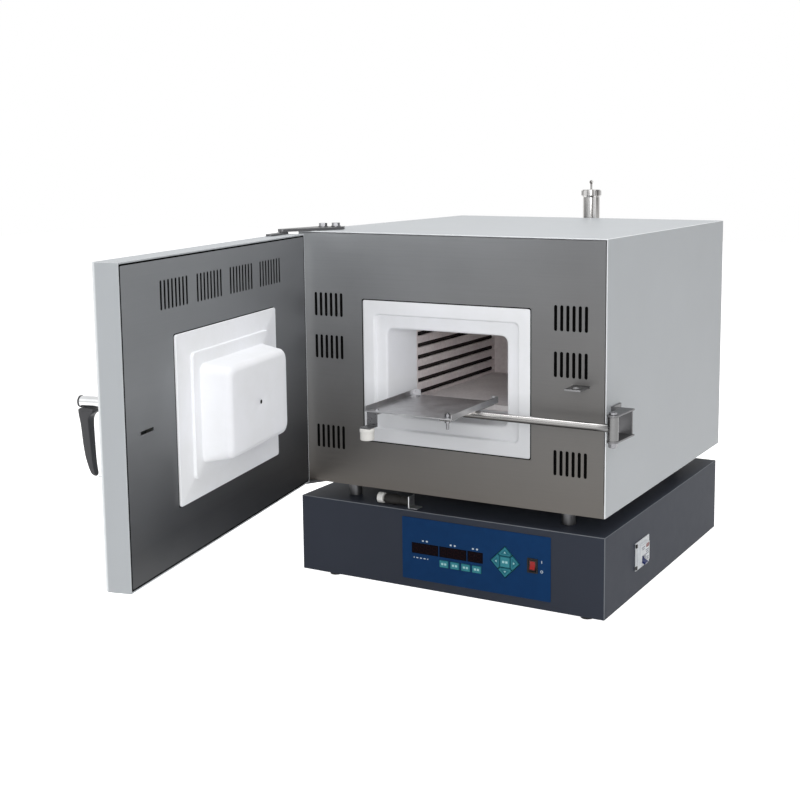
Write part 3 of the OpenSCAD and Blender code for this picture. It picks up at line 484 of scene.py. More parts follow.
def moulded_ceramic(name, colour, dust, roughness=0.75, pit=0.35, low_shade=None):
    """Pressed ceramic: a soft uneven skin with small pits and faint marks of handling, and, where a low
    shade tone is given, a greyer tone low down: painted shade."""
    finish, tree, shader = new_finish(name, colour, roughness, specular=0.3)
    coords = place_coords(tree)
    broad = noise(tree, coords, 9.0, 5.0, 0.6)
    tone = ramp(tree, broad, [(0.38, dust), (0.62, colour)])
    if low_shade:
        # painted shade: greyer towards the bottom, for the shadow that falls across the lower frame
        tone = mixed(tree, low_shade, tone, level_along(tree, "Z", 0.335, 0.385))
    tree.links.new(tone, shader.inputs["Base Color"])
    fine = noise(tree, coords, 260.0, 5.0, 0.6)
    bump(tree, shader, mixed(tree, fine, noise(tree, coords, 45.0, 3.0), 0.4), pit, 0.0010)
    return finish


def fired_brick(name, pale, dark):
    """Light refractory: mottled, porous and grainy."""
    finish, tree, shader = new_finish(name, pale, 0.9, specular=0.2)
    coords = place_coords(tree)
    mottle = mixed(tree, noise(tree, coords, 14.0, 6.0, 0.65), noise(tree, coords, 160.0, 4.0), 0.45)
    tree.links.new(ramp(tree, mottle, [(0.36, dark), (0.60, pale)]), shader.inputs["Base Color"])
    pores = tree.nodes.new("ShaderNodeTexVoronoi")
    pores.inputs["Scale"].default_value = 330.0
    tree.links.new(coords, pores.inputs["Vector"])
    pits = ramp(tree, pores.outputs["Distance"], [(0.1, 0.0), (0.5, 1.0)])
    bump(tree, shader, mixed(tree, pits, noise(tree, coords, 90.0, 5.0), 0.5), 0.5, 0.0014)
    return finish


def moulded_plastic(name, colour, roughness=0.45, grain=1400.0, depth=0.05, specular=0.2):
    """Plastic, rubber or film with a fine even texture."""
    finish, tree, shader = new_finish(name, colour, roughness, specular=specular)
    coords = place_coords(tree)
    clouds = noise(tree, coords, 60.0, 4.0)
    tone = ramp(tree, clouds, [(0.3, shade_of(colour, 0.93)), (0.7, shade_of(colour, 1.06))])
    tree.links.new(tone, shader.inputs["Base Color"])
    bump(tree, shader, noise(tree, coords, grain, 2.0), depth, 0.0003)
    return finish


def lens_plastic(name, colour, recess_shade, middle, half):
    """Glossy plastic, coloured inside a rectangle in the XZ plane and dark outside it, in metres: the
    larger of the two distances past the rectangle's sides says where the dark begins. The dark border
    is painted shade, for the shade of the recess round the rocker."""
    finish, tree, shader = new_finish(name, colour, 0.28, specular=0.3)
    place = parts_of(tree, place_coords(tree))
    soft = 0.0006
    past = [span(tree, calculated(tree, "ABSOLUTE", calculated(tree, "SUBTRACT", place[axis], centre)),
                 reach - soft, reach + soft)
            for axis, centre, reach in zip("XZ", middle, half)]
    # painted shade: the border past the rectangle takes the dark recess tone
    tone = mixed(tree, colour, recess_shade, calculated(tree, "MAXIMUM", *past))
    tree.links.new(tone, shader.inputs["Base Color"])
    return finish


def black_rubber(name):
    """Rubber: matt, with a pale bloom in its tone."""
    finish, tree, shader = new_finish(name, (0.018, 0.018, 0.018), 0.8, specular=0.3)
    coords = place_coords(tree)
    bloom = noise(tree, coords, 90.0, 5.0)
    tone = ramp(tree, bloom, [(0.4, (0.014, 0.014, 0.015)), (0.75, (0.045, 0.045, 0.045))])
    tree.links.new(tone, shader.inputs["Base Color"])
    bump(tree, shader, noise(tree, coords, 700.0), 0.2, 0.0005)
    return finish


# the second tone is a painted highlight for the sheet's eased edges
SHEET_GREY, SHEET_EDGE_HIGHLIGHT = (0.432, 0.454, 0.474), (0.90, 0.92, 0.94)
CERAMIC, CERAMIC_DUST = (0.87, 0.88, 0.915), (0.83, 0.84, 0.86)

casing_paint = painted_sheet("casing paint", SHEET_GREY, edge=SHEET_EDGE_HIGHLIGHT)
door_paint = painted_sheet("door paint", SHEET_GREY, edge=SHEET_EDGE_HIGHLIGHT, turn=DOOR_OPEN)
# the edge tone here is a painted highlight along the control box's eased edges
control_paint = painted_sheet("control box paint", (0.033, 0.038, 0.052), 0.5, 1100.0, 0.08,
                              edge=(0.17, 0.182, 0.200))
lever_paint = painted_sheet("lever paint", (0.060, 0.060, 0.064), 0.38, 1600.0, 0.25)

# painted light and shade: lit towards the upper left, shaded at the foot, most at its left where the
# open door shades it
front_steel = brushed_metal("front panel steel", [(0.092, 0.083, 0.074), (0.122, 0.113, 0.103)],
                            [(0.375, 0.388, 0.404), (0.182, 0.186, 0.192)])
# painted light and shade: a dark foot, and a lighter head that brightens from one side to the other
door_steel = brushed_metal("door panel steel", [(0.050, 0.051, 0.054)] * 2,
                           [(0.152, 0.154, 0.164), (0.245, 0.255, 0.266)],
                           heights=(0.24, 0.46), across=(-0.33, -0.19), turn=DOOR_OPEN)
# the first tone is the painted dark reflection along the tube's underside
tube_steel = polished_arm("polished tube", (0.030, 0.028, 0.026), (0.60, 0.59, 0.58),
                          (0.18, 0.18, 0.18))
# the dark and bright streaks are partly painted reflection bands along the pipe
flue_steel = streaked_metal("flue steel", (0.12, 0.115, 0.11), (0.66, 0.65, 0.64), 0.22)
zinc_steel = plain_metal("zinc sheet", (0.45, 0.46, 0.46), 0.4, 120.0)
tray_steel = plain_metal("tray steel", (0.50, 0.50, 0.51), 0.36, 90.0)
bracket_steel = plain_metal("bracket steel", (0.15, 0.15, 0.155), 0.42, 500.0)
knob_steel = plain_metal("knob strap steel", (0.21, 0.21, 0.215), 0.3)
bare_steel = plain_metal("bare steel", (0.23, 0.23, 0.235), 0.36)
strap_steel = plain_metal("strap steel", (0.13, 0.13, 0.135), 0.4)
bolt_steel = plain_metal("bolt plating", (0.21, 0.21, 0.22), 0.28)
chrome = plain_metal("chrome", (0.74, 0.75, 0.76), 0.07)
coil_wire = plain_metal("oxidised wire", (0.045, 0.038, 0.036), 0.6)
aluminium = plain_metal("extruded aluminium", (0.55, 0.56, 0.57), 0.35)
core_iron = plain_metal("lacquered core", (0.16, 0.12, 0.09), 0.5)

white_ceramic = moulded_ceramic("white ceramic", CERAMIC, CERAMIC_DUST)
# painted shade: the greyer lower part stands for the tray's shadow on the frame
mouth_ceramic = moulded_ceramic("mouth ceramic", CERAMIC, CERAMIC_DUST, low_shade=(0.64, 0.65, 0.67))
glazed_ceramic = moulded_ceramic("glazed ceramic", (0.74, 0.74, 0.72), (0.68, 0.67, 0.64), 0.25, 0.08)
fibre_board = moulded_ceramic("fibre board", (0.80, 0.79, 0.75), (0.72, 0.70, 0.66), 0.95, 0.9)
lining_brick = fired_brick("lining brick", (0.86, 0.80, 0.79), (0.72, 0.65, 0.65))
hearth_brick = fired_brick("hearth plate", (0.88, 0.85, 0.84), (0.76, 0.72, 0.72))

rubber = black_rubber("foot rubber")
overlay_film = moulded_plastic("blue film", (0.0045, 0.033, 0.108), 0.45, specular=0.06)
key_film = moulded_plastic("teal film", (0.018, 0.135, 0.180), 0.4, specular=0.1)
key_edge = moulded_plastic("pale teal print", (0.040, 0.220, 0.260), 0.4, specular=0.1)
window_tint = moulded_plastic("tinted window", (0.0032, 0.0012, 0.0030), 0.15, 300.0, 0.01, 0.03)
digit_tint = moulded_plastic("unlit digit", (0.0095, 0.0022, 0.0030), 0.35, specular=0.03)
mark_white = moulded_plastic("white print", (0.50, 0.58, 0.64), 0.5)
mark_teal = moulded_plastic("key print", (0.34, 0.58, 0.60), 0.5)
mark_grey = moulded_plastic("grey print", (0.11, 0.12, 0.17), 0.5)
black_plastic = moulded_plastic("black plastic", (0.012, 0.012, 0.012), 0.45, specular=0.15)
# painted shade: near black, for the plates, lines and disc that stand for shade in slots, gaps and the
# plug's hole
slot_shade_black = moulded_plastic("painted slot shade", (0.003, 0.003, 0.003), 0.9, specular=0.0)
boot_rubber = moulded_plastic("boot rubber", (0.026, 0.025, 0.024), 0.6, 900.0, 0.1, 0.15)
spot_red = moulded_plastic("breaker spot", (0.15, 0.006, 0.006), 0.3, 900.0, 0.03, 0.25)
# the second tone is painted shade round the lens's border, for the shadowed recess
rocker_red = lens_plastic("rocker lens", (0.30, 0.008, 0.008), (0.020, 0.004, 0.004),
                          (0.1715, 0.0910), (0.0046, 0.0066))
white_plastic = moulded_plastic("breaker white", (0.62, 0.64, 0.66), 0.32)
blue_plastic = moulded_plastic("toggle blue", (0.02, 0.03, 0.12), 0.3)
board_green = moulded_plastic("board lacquer", (0.015, 0.12, 0.04), 0.35)


# ---- chamber ----

def throat_collar():
    """A ring of rounded rectangles, from the outside of the frame over its rounded lip, down into
    the recess, over the lip of the mouth and along the tapered throat to the chamber."""
    mid, z = CHAMBER_MID_Z, MOUTH_Z
    # width, height, corner radius, depth behind the front panel's face, middle height
    rows = [
        (290, 216, 3, 79, mid), (290, 216, 3, 29.8, mid), (329, 255, 3, 30, z), (329, 255, 3, 2, z),
        (328.4, 254.4, 3, 0.6, z), (326.5, 252.5, 3, 0, z), (322, 248, 4, 0, z),
        (288, 211, 10, 0, z), (284.6, 207.6, 9, 0.2, z), (283, 206, 8.5, 0.8, z),
        (282.2, 205.2, 8, 1.8, z), (279.6, 202.6, 8, 4.6, z), (278.4, 201.4, 8, 5.6, z),
        (276, 199, 8, 6, z), (246, 166, 17, 6, z), (241, 161, 15, 6.3, z), (238, 158, 13.5, 7.4, z),
        (236, 156, 12.5, 9.6, z), (234.6, 154.7, 12, 13, z), (217, 145.4, 8, 45, mid - 0.2),
        (201, 136.4, 4.5, 77, mid), (200, 136, 4, 79, mid)]
    rows = [(w, h, r, FRONT_Y + depth, middle) for w, h, r, depth, middle in rows]
    return shell(upright_rings(rows, corner=9), wrap=True)


def heating_coil(side):
    """In each groove, a wire carried along a helix: cosine and sine about the groove's middle line."""
    grooves, lowest, pitch = 6, 352.0, 21.5
    turns, per_turn, reach = 88, 14, 3.1
    t = np.linspace(0, turns, turns * per_turn + 1)
    x = side * (104 + reach * np.cos(2 * math.pi * t))
    y = CHAMBER_Y + 11 + t / turns * (CHAMBER_D - 22)
    z = lowest + reach * np.sin(2 * math.pi * t)
    return gathered([tube(np.stack([x, y, z + pitch * i], axis=1), 0.8, sides=5)
                     for i in range(grooves)])


piece("throat_frame", throat_collar(), "casing", mouth_ceramic, ("throat_collar",))
eased("muffle_lining", "casing", lining_brick, 1.0)
eased("hearth_plate", "casing", hearth_brick, 0.8)
for side, node in ((-1, "coil_left"), (1, "coil_right")):
    piece(node + "_wire", heating_coil(side), "casing", coil_wire, (node,))


# ---- door ----

def door_plug():
    """Rounded rectangles from the back of the flange over the low step to the plug, whose sides
    taper and whose front edge is a quarter circle; the last rings go down a small hole."""
    # width, height, corner radius, distance out from the door's inner face
    rows = [(296, 196, 8, -7), (296, 196, 8, 0), (345, 253, 4, 0), (346, 254, 4, 1), (346, 254, 4, 3),
            (344.8, 252.8, 4, 3.8), (342, 250, 4, 4), (270, 194, 8, 4), (266.6, 190.6, 7, 4.6),
            (266, 190, 7, 7), (264.6, 188.6, 7, 8.6), (261, 185, 7, 9), (233, 155, 14, 9),
            (229.5, 151.5, 13, 9.8), (228, 150, 13, 12)]
    rows += [(228 - 15.5 * t, 150 - 9 * t, 13 + 3 * t, 12 + 31 * t) for t in np.linspace(0.12, 1, 6)]
    for a in np.linspace(0.15, math.pi / 2, 9):
        fall = 1 - math.cos(a)
        rows.append((212.5 - 22 * fall, 141 - 22 * fall, 16 - 3 * fall, 43 + 11 * math.sin(a)))
    rows += [(150, 84, 12, 54.1), (60, 34, 10, 54.1), (9, 9, 4.4, 54), (6, 6, 2.95, 53.6),
             (5, 5, 2.45, 52), (5, 5, 2.45, 34)]
    rows = [(w, h, r, DOOR_Y + out, MOUTH_Z) for w, h, r, out in rows]
    return shell(upright_rings(rows, corner=9))


piece("door_plug_body", door_plug(), "door", white_ceramic, ("door_plug",),
      place=on_door)
eased("door_shell", "door", door_paint, 1.6, 3)
eased("door_panel", "door", door_steel, 0.35)


# ---- handle ----

# distance below the spindle, inner and outer face out from the door's outer face, half of the breadth
LEVER_ROWS = np.array([
    [4, 42, 68, 10], [14, 42, 67.6, 10], [18, 47, 67.0, 9.8], [22, 49.8, 66.2, 9.5],
    [28, 50.8, 65.2, 9], [36, 50.8, 64.4, 8.6], [49, 50.2, 63.6, 8], [60, 49.6, 62.8, 7.6],
    [70, 49.2, 61.6, 7.2], [80, 48.6, 60, 6.9], [88, 48, 57.8, 6.6], [96, 47, 55.4, 6.3],
    [103, 45.8, 52.4, 5.6], [106.5, 45.2, 49.4, 3.5]])


def lever():
    """Rounded oblongs down the lever, with sizes taken from its rows: each is a circle whose cosine
    and sine keep their signs and are raised to the power 0.4. The first rings open, and the last
    close, like part of a quarter circle."""
    fall = np.concatenate([[8.3, 8.5, 9.2, 10.5], np.linspace(12.5, 102, 34),
                           [104, 105.4, 106.2, 106.5]])
    inner, outer, half = (np.interp(fall, LEVER_ROWS[:, 0], LEVER_ROWS[:, k]) for k in (1, 2, 3))
    close = np.clip(np.minimum((fall - 8.2) / 2.6, (106.7 - fall) / 3.2), 0, 1)
    close = 1 - (1 - np.sqrt(1 - (1 - close) ** 2)) * 0.55
    turn = np.linspace(0, 2 * math.pi, 36, endpoint=False)
    across, out = (np.sign(f(turn)) * np.abs(f(turn)) ** 0.4 for f in (np.cos, np.sin))
    middle, reach = (outer + inner) / 2, (outer - inner) / 2
    rings = np.stack([SPINDLE_X + (half * close)[:, None] * across,
                      DOOR_OUTER_Y - middle[:, None] - (reach * close)[:, None] * out,
                      np.repeat(SPINDLE_Z - fall[:, None], 36, axis=1)], axis=-1)
    return shell(rings)


def hub_collar():
    """A thin dished disc over the outer end of the hub: a profile turned round the spindle."""
    profile = [(0, 67.2), (6.4, 67.4), (7.6, 68.0), (8.5, 67.6), (8.7, 66.4), (8.7, 65.2), (8.1, 65.2)]
    return lathe([(r, DOOR_OUTER_Y - out) for r, out in profile], (SPINDLE_X, 0, SPINDLE_Z), "y", 40)


def lever_foot():
    """A thin bright clip under the lever's tip: a circle carried along a bow that bends in towards
    the door by a power and sags by a sine."""
    t = np.linspace(0, 1, 12)
    y = DOOR_OUTER_Y - 48.5 + 11 * t ** 1.4
    z = SPINDLE_Z - 104.5 - 3.6 * np.sin(t * math.pi * 0.62)
    return tube(np.stack([np.full(12, SPINDLE_X), y, z], axis=1), 1.1, 10)


piece("handle_lever_body", lever(), "handle", lever_paint, ("handle_lever",),
      place=on_door)
piece("handle_collar", hub_collar(), "handle", lever_paint, place=on_door)
piece("handle_foot", lever_foot(), "handle", chrome, place=on_door)


# ---- the rest of the frame keeps its shape, with eased edges ----

# node, body, slot, finish, width of the eased edge, steps round it
EASED = [
    ("outer_shell", "casing", "light_grey_paint", casing_paint, 1.8, 3),
    ("rear_cover", "casing", "light_grey_paint", casing_paint, 0.4, 2),
    ("front_panel", "casing", "brushed_stainless", front_steel, 0.35, 2),
    ("base_plate", "casing", "zinc_sheet", zinc_steel, 0.3, 1),
    ("exhaust_pipe", "casing", "flue_stainless", flue_steel, 0.4, 2),
    ("exhaust_lid", "lid", "flue_stainless", flue_steel, 0.3, 2),
    ("thermocouple", "casing", "flue_stainless", flue_steel, 0.8, 2),
    ("catch_tongue", "casing", "bare_steel", bare_steel, 0.5, 2),
    ("top_strap", "casing", "bare_steel", strap_steel, 0.6, 2),
    ("bottom_strap", "casing", "bare_steel", strap_steel, 0.6, 2),
    ("arm_bracket", "casing", "bare_steel", bracket_steel, 0.5, 2),
    ("arm_pin", "casing", "fasteners", bolt_steel, 0.5, 2),
    ("spacers", "casing", "bare_steel", strap_steel, 0.8, 2),
    ("door_pins", "door", "bare_steel", strap_steel, 0.4, 2),
    ("latch_guide", "door", "bare_steel", bare_steel, 0.4, 1),
    ("latch_bolt", "latch", "bare_steel", bare_steel, 0.4, 2),
    ("handle_rosette", "door", "chrome_trim", chrome, 0.8, 2),
    ("handle_hub", "handle", "chrome_trim", chrome, 1.0, 2),
    ("tray_arm", "tray", "polished_stainless", tube_steel, 0.4, 2),
    ("tray", "tray", "polished_stainless", tray_steel, 0.45, 2),
    ("tray_bolts", "tray", "fasteners", bolt_steel, 0.35, 2),
    ("knob_strap", "tray", "polished_stainless", knob_steel, 0.4, 2),
    ("frame_bolts", "casing", "fasteners", bolt_steel, 0.6, 2),
    ("controller_base", "casing", "zinc_sheet", zinc_steel, 0.3, 1),
    ("rubber_feet", "casing", "black_rubber", rubber, 1.5, 3),
    ("overlay_panel", "casing", "blue_overlay", overlay_film, 0.15, 1),
    ("display_windows", "casing", "dark_window", window_tint, 0.25, 1),
    ("rocker_bezel", "casing", "black_plastic", black_plastic, 0.6, 2),
    ("power_rocker", "rocker", "red_rocker", rocker_red, 0.6, 3),
    ("breaker_body", "casing", "white_plastic", white_plastic, 0.7, 2),
    ("breaker_toggle", "toggle", "blue_toggle", blue_plastic, 0.6, 2),
    ("cable_gland", "casing", "gland_plastic", black_plastic, 0.5, 2),
    ("switch_head", "plunger", "knob_ceramic", glazed_ceramic, 1.2, 3),
    ("transformer", "casing", "core_laminations", core_iron, 0.5, 1),
    ("power_unit", "casing", "heat_sink", aluminium, 0.3, 1),
    ("control_board", "casing", "circuit_board", board_green, 0.1, 1),
]
for node, body, slot, finish, bevel, segments in EASED:
    eased(node, body, finish, bevel, segments)
eased("controller_case", "casing", control_paint, 1.6, 3, outer_only=True)
for key in ("key_1", "key_2", "key_3", "key_4", "pad_up", "pad_down", "pad_left", "pad_right",
            "pad_centre"):
    eased(key, key + "_cap", key_film, 0.35, 2)
for node, finish in (("insulation_boards", fibre_board), ("door_insulation", fibre_board),
                     ("support_rails", zinc_steel)):
    for material_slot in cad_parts[node].material_slots:
        material_slot.material = finish


# ---- tray knob ----

KNOB = (-61.5, -468.0, 334.5)        # middle of the knob's top
# radius, distance down from the top
KNOB_PROFILE = [(0, -0.2), (10.6, -0.2), (12.0, -0.6), (12.6, -1.7), (12.6, -5.6), (12.1, -6.6),
                (11.9, -8), (11.9, -13), (12.0, -15), (12.0, -18.0), (11.4, -19.4), (10.0, -19.9),
                (3.4, -19.9), (2.6, -18.6), (0, -18.4)]
piece("tray_knob_body", lathe(KNOB_PROFILE, KNOB), "tray", glazed_ceramic,
      ("tray_knob",))


# ---- control panel: prints, digits and marks ----

PAD = (119.5, 89.0)                  # middle of the pad of arrow keys
KEY_X, KEY_Z, KEY_PITCH = -0.2, 67.5, 21.6
WINDOWS = [(-38.5, 54.4, 4), (17.5, 54.4, 4), (61.5, 30.4, 2)]    # middle, width, digits
WINDOW_Z, WINDOW_Y = 89.0, OVERLAY_Y + 0.3
ROCKER = (171.5, 90.5)


def digit(x, z):
    """Seven bars of a display digit: long hexagons, each moved to the right by 0.12 of its height."""
    w, h, thick, lean = 8.4, 13.0, 1.5, 0.12
    bar = np.array([[-0.5, 0], [-0.38, 0.5], [0.38, 0.5], [0.5, 0], [0.38, -0.5], [-0.38, -0.5]])
    flat = [bar * [w - 1.6, thick] + [0, k * h / 2] for k in (-1, 0, 1)]
    tall = [bar[:, ::-1] * [thick, h / 2 - 1.6] + [i * w / 2, k * h / 4]
            for i in (-1, 1) for k in (-1, 1)]
    return [np.column_stack([o[:, 0] + lean * o[:, 1] + x, o[:, 1] + z]) for o in flat + tall]


def ring_mark(x, z, outer, inner, y):
    """A flat printed ring: a square section carried round a circle."""
    turn = np.linspace(0, 2 * math.pi, 32, endpoint=False)
    section = [(outer, y + 0.2), (outer, y - 0.1), (inner, y - 0.1), (inner, y + 0.2)]
    rings = [np.stack([x + r * np.cos(turn), np.full(32, at), z + r * np.sin(turn)], axis=1)
             for r, at in section]
    return shell(rings, wrap=True)


digits = [bar for x, w, count in WINDOWS for i in range(count)
          for bar in digit(x + (i - (count - 1) / 2) * (w - 4) / count, WINDOW_Z)]
piece("unlit_digits", stamp(digits, WINDOW_Y, 0.06), "casing", digit_tint)

mark_x = ROCKER[0] + 17
labels = [block(x + i * 4.0, WINDOW_Z + 14.6, 3.6, 2.8) for x, _, _ in WINDOWS for i in (-1, 1)]
labels += [block(-58 + i * 7.4 + j * 2.7, 71.5, 1.9, 2.0) for i in range(4) for j in (-1, 1)]
labels += [block(mark_x, ROCKER[1] + 8.5, 1.3, 4.8)]
ring = ring_mark(mark_x, ROCKER[1] - 8.5, 2.5, 1.5, OVERLAY_Y)
piece("panel_labels", gathered([stamp(labels, OVERLAY_Y), ring]), "casing", mark_white)

for i in range(4):
    name, x = "key_%d" % (i + 1), KEY_X + KEY_PITCH * i
    face = stamp([block(x, KEY_Z, 15.6, 11.4, 1.2)], KEY_Y, 0.06)
    mark = stamp([block(x + off, KEY_Z, 4.2, 3.8) for off in (-2.9, 2.9)], KEY_Y)
    piece(name + "_face", face, name + "_cap", key_edge)
    piece(name + "_mark", mark, name + "_cap", mark_teal)

WEDGE = [(12.6, -9.0), (13.8, -10.4), (25.0, 0.0), (13.8, 10.4), (12.6, 9.0)]
INSET = [(13.6, -8.0), (14.2, -8.7), (23.2, 0.0), (14.2, 8.7), (13.6, 8.0)]
ARROW = [(15.6, -2.3), (18.9, 0.0), (15.6, 2.3)]
ARROW_KEY = (("edge", WEDGE, 0.04, key_edge), ("face", INSET, 0.07, key_film),
             ("arrow", ARROW, 0.1, mark_teal))
for quarter, key in enumerate(("pad_right", "pad_up", "pad_left", "pad_down")):
    for part, outline, raised, finish in ARROW_KEY:
        turned = moved(outline, *PAD, quarter * math.pi / 2)
        piece(key + "_" + part, stamp([turned], KEY_Y, raised), key + "_cap", finish)
piece("pad_centre_face", stamp([block(*PAD, 16.4, 16.4, 1.0)], KEY_Y, 0.05), "pad_centre_cap",
      key_edge)
piece("pad_centre_mark", stamp([block(PAD[0] + off, PAD[1], 4.4, 4.0) for off in (-3, 3)], KEY_Y),
      "pad_centre_cap", mark_teal)


# ---- painted shade: dark plates behind the slots, dark lines round gaps and a dark disc in the plug's hole ----

def slot_shade_plates(places, w, h, y):
    """Thin dark plates in an XZ plane, one behind each group of slots: painted shade, for the shade
    inside the slots.
    """
    return gathered([extruded(block(x, z, w, h, 2.0), y, y + 0.6, "y") for x, z in places])


def shadow_line(w, h, r, width, face, x=0.0, z=MOUTH_Z):
    """A painted shadow line: a flat dark strip along a rounded rectangle, for the shade in the gap
    round a part, made as a thin section carried round its outline.
    """
    outer, inner = (w, h), (w - 2 * width, h - 2 * width)
    section = [(outer, face), (outer, face - 0.25), (inner, face - 0.25), (inner, face)]
    return shell(upright_rings([(*size, r, y, z) for size, y in section], x, corner=5), wrap=True)


front_groups = [(side * 237, z) for side in (-1, 1) for z in (515.5, 438.5, 272.5)]
door_groups = [(1 + i * 110, 588) for i in (-1.5, -0.5, 0.5, 1.5)]
door_face = DOOR_Y + 0.05
# painted shade: a dark disc at the plug's small hole, for the shade inside it
HOLE_SHADE_DISC = [(0, 0.0), (2.6, 0.0), (3.3, 0.25), (2.6, 0.5), (0, 0.5)]
hole = lathe(HOLE_SHADE_DISC, (0, DOOR_Y + 53.8, MOUTH_Z), "y", 24)
# painted shade, all in the black finish: plates behind the slots, lines round the mouth, the plug and
# the door panel, and the disc in the plug's hole
DARK = [
    ("front_slot_shade", slot_shade_plates(front_groups, 66, 49, FRONT_Y + 0.6), "casing", None),
    ("door_slot_shade", slot_shade_plates(door_groups, 88, 49, DOOR_Y - 1.3), "door", on_door),
    ("mouth_shadow_line", shadow_line(331.6, 257.6, 3.5, 1.7, FRONT_Y + 0.1), "casing", None),
    ("plug_shadow_line", shadow_line(348.6, 256.6, 4.5, 2.0, door_face), "door", on_door),
    ("panel_shadow_line", shadow_line(623.0, 448.4, 2.0, 2.2, door_face, 1.0, 416.25), "door", on_door),
    ("plug_hole_shade", hole, "door", on_door)]
for name, part, body, place in DARK:
    piece(name, part, body, slot_shade_black, place=place)


# ---- breaker marks, door switch, screws ----

BREAKER = (-144.0, 83.0)
BREAKER_FACE_X, BREAKER_PLATE_X = 309.0, 303.0
# y and z from the breaker's middle, and length
PRINT_LINES = ((-10, 13, 16), (-10, 9.6, 11), (10, 4.4, 16), (10, 1.0, 12), (10, -2.4, 16),
               (12, -9, 9), (12, -12.4, 9))


def side_stamp(outlines, x):
    """Thin prints on a face that looks along +X: each outline is a list of (y, z)."""
    return gathered([extruded(outline, x - 0.2, x + 0.1, "x") for outline in outlines])


def by_breaker(y, z, w, h, r=0.4):
    """The outline of a small rounded rectangle at a place from the breaker's middle."""
    return block(BREAKER[0] + y, BREAKER[1] + z, w, h, r)


spot = side_stamp([by_breaker(12, 12.2, 16, 7, 3.0)], BREAKER_FACE_X)
lines = side_stamp([by_breaker(y, z, w, 1.5) for y, z, w in PRINT_LINES], BREAKER_FACE_X)
clips = gathered([extruded(by_breaker(-31.2, z, 6.4, 6.4, 0.8), BREAKER_PLATE_X,
                           BREAKER_PLATE_X + 2.4, "x") for z in (19.8, -19.8)])
piece("breaker_spot", spot, "casing", spot_red)
piece("breaker_lines", lines, "casing", mark_grey)
piece("breaker_clips", clips, "casing", black_plastic, bevel=0.5)

SWITCH = np.array([-105.0, -302.0, 167.0])    # on the plunger's axis
# radius, distance along the axis
BOOT = [(3.75, 20), (3.75, -21), (5.8, -24), (7.6, -24), (8.4, -23.2), (9.0, -16), (9.6, -9),
        (9.4, -3), (8.2, 0), (8.0, 1), (8.0, 9), (7.4, 9.6), (7.4, 10.6), (8.0, 11.2), (8.0, 24),
        (8.6, 24.6), (8.6, 27.9), (0, 27.9)]
# the bracket's section: x from the switch, height
ANGLE = [(28, 156), (46, 156), (46, 157.8), (31.4, 157.8), (30, 159.2), (30, 178), (28, 178)]
boot = lathe(BOOT, SWITCH, "x", 44)
bracket = extruded([(SWITCH[0] + x, z) for x, z in ANGLE], SWITCH[1] - 10, SWITCH[1] + 10, "y")
piece("switch_boot", boot, "casing", boot_rubber, ("door_switch",))
piece("switch_angle", bracket, "casing", aluminium, bevel=0.4)

DOME = [(0, 1.9), (1.6, 1.8), (3.0, 1.2), (3.7, 0.0), (3.7, -0.5)]


def rear_screws(places, y):
    """Domed screw heads at (x, z) places on a face that looks along +Y."""
    return gathered([lathe(DOME, (x, y, z), "y", 20) for x, z in places])


cover = [(x, z) for x in (-288, 0, 288) for z in (200, 634)] + [(x, 417) for x in (-288, 288)]
control = [(x, z) for x in (-285, 285) for z in (30, 142)]
piece("rear_cover_screws", rear_screws(cover, REAR_Y), "casing", bolt_steel)
piece("control_rear_screws", rear_screws(control, CONTROL_REAR_Y), "casing", bolt_steel)


# ---- floor, light and background ----

def seen_directly(tree):
    """One for camera, glossy and transmission rays, and zero for the rest."""
    path = tree.nodes.new("ShaderNodeLightPath")
    seen = path.outputs["Is Camera Ray"]
    for kind in ("Is Glossy Ray", "Is Transmission Ray"):
        seen = calculated(tree, "MAXIMUM", seen, path.outputs[kind])
    return seen


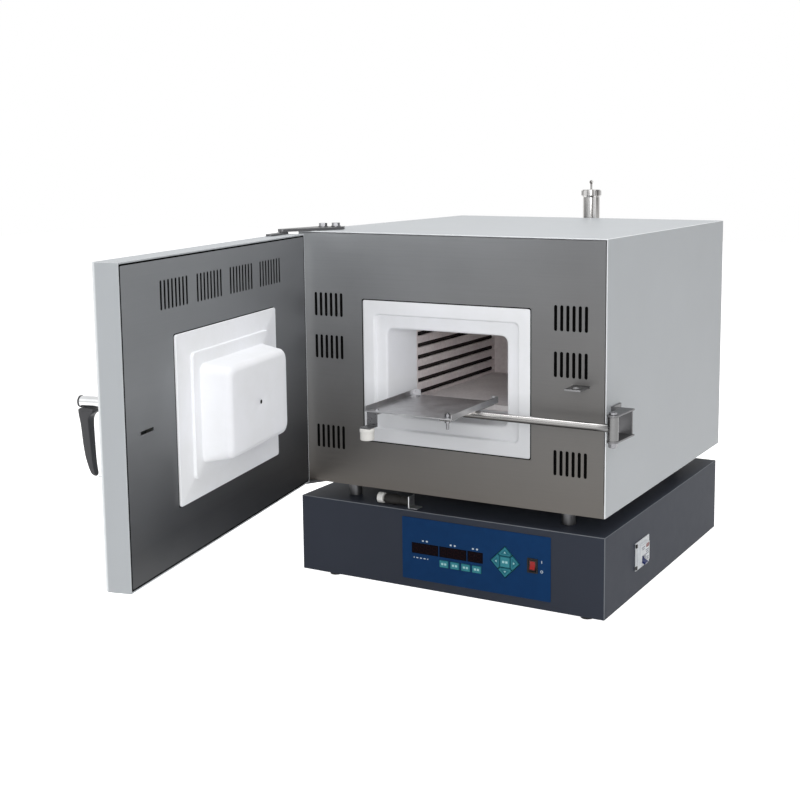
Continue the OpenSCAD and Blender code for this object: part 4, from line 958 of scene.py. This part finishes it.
def level_by_ray(tree, otherwise, seen):
    """A strength that is one number for rays that see a thing directly, and another for the rest."""
    level = tree.nodes.new("ShaderNodeMapRange")
    level.inputs["To Min"].default_value = otherwise
    level.inputs["To Max"].default_value = seen
    tree.links.new(seen_directly(tree), level.inputs["Value"])
    return level.outputs["Result"]


def add_floor():
    """A wide pale floor that glows a little to the camera, so it ends in white but keeps shadows."""
    reach = 9.0
    mesh = bpy.data.meshes.new("floor")
    mesh.from_pydata([(-reach, -reach, 0), (reach, -reach, 0), (reach, reach, 0), (-reach, reach, 0)],
                     [], [[0, 1, 2, 3]])
    floor = bpy.data.objects.new("floor", mesh)
    bpy.context.collection.objects.link(floor)
    finish, tree, shader = new_finish("floor", (0.80, 0.80, 0.80), 0.9, specular=0.1)
    shader.inputs["Emission Color"].default_value = (1, 1, 1, 1)
    tree.links.new(level_by_ray(tree, 0.0, 0.86), shader.inputs["Emission Strength"])
    mesh.materials.append(finish)


def add_world(light):
    """White where it is seen directly, in a reflection or through glass, and a dimmer even light
    elsewhere."""
    world = bpy.data.worlds.new("studio")
    world.use_nodes = True
    background = world.node_tree.nodes["Background"]
    background.inputs["Color"].default_value = (1, 1, 1, 1)
    world.node_tree.links.new(level_by_ray(world.node_tree, light, 1.0), background.inputs["Strength"])
    bpy.context.scene.world = world


def add_softbox(name, place, target, size, power):
    """A square soft light at a place, facing a target, in metres and watts."""
    data = bpy.data.lights.new(name, "AREA")
    data.size = size
    data.energy = power
    lamp = bpy.data.objects.new(name, data)
    away = Vector(place) - Vector(target)
    lamp.matrix_world = Matrix.Translation(place) @ away.to_track_quat("Z", "Y").to_matrix().to_4x4()
    bpy.context.collection.objects.link(lamp)


add_camera()
add_floor()
add_world(0.42)
add_softbox("overhead", (0.3, -0.2, 3.4), (0.0, 0.0, 0.3), 2.8, 66)
add_softbox("front", (1.5, -3.2, 1.15), (0.0, 0.0, 0.42), 1.5, 40)
add_softbox("front_left", (-1.8, -3.2, 2.2), (0.0, -0.2, 0.4), 2.0, 5)
add_softbox("right", (3.2, -1.6, 1.6), (0.0, 0.0, 0.4), 2.2, 4)
bpy.context.scene.view_settings.view_transform = "Standard"
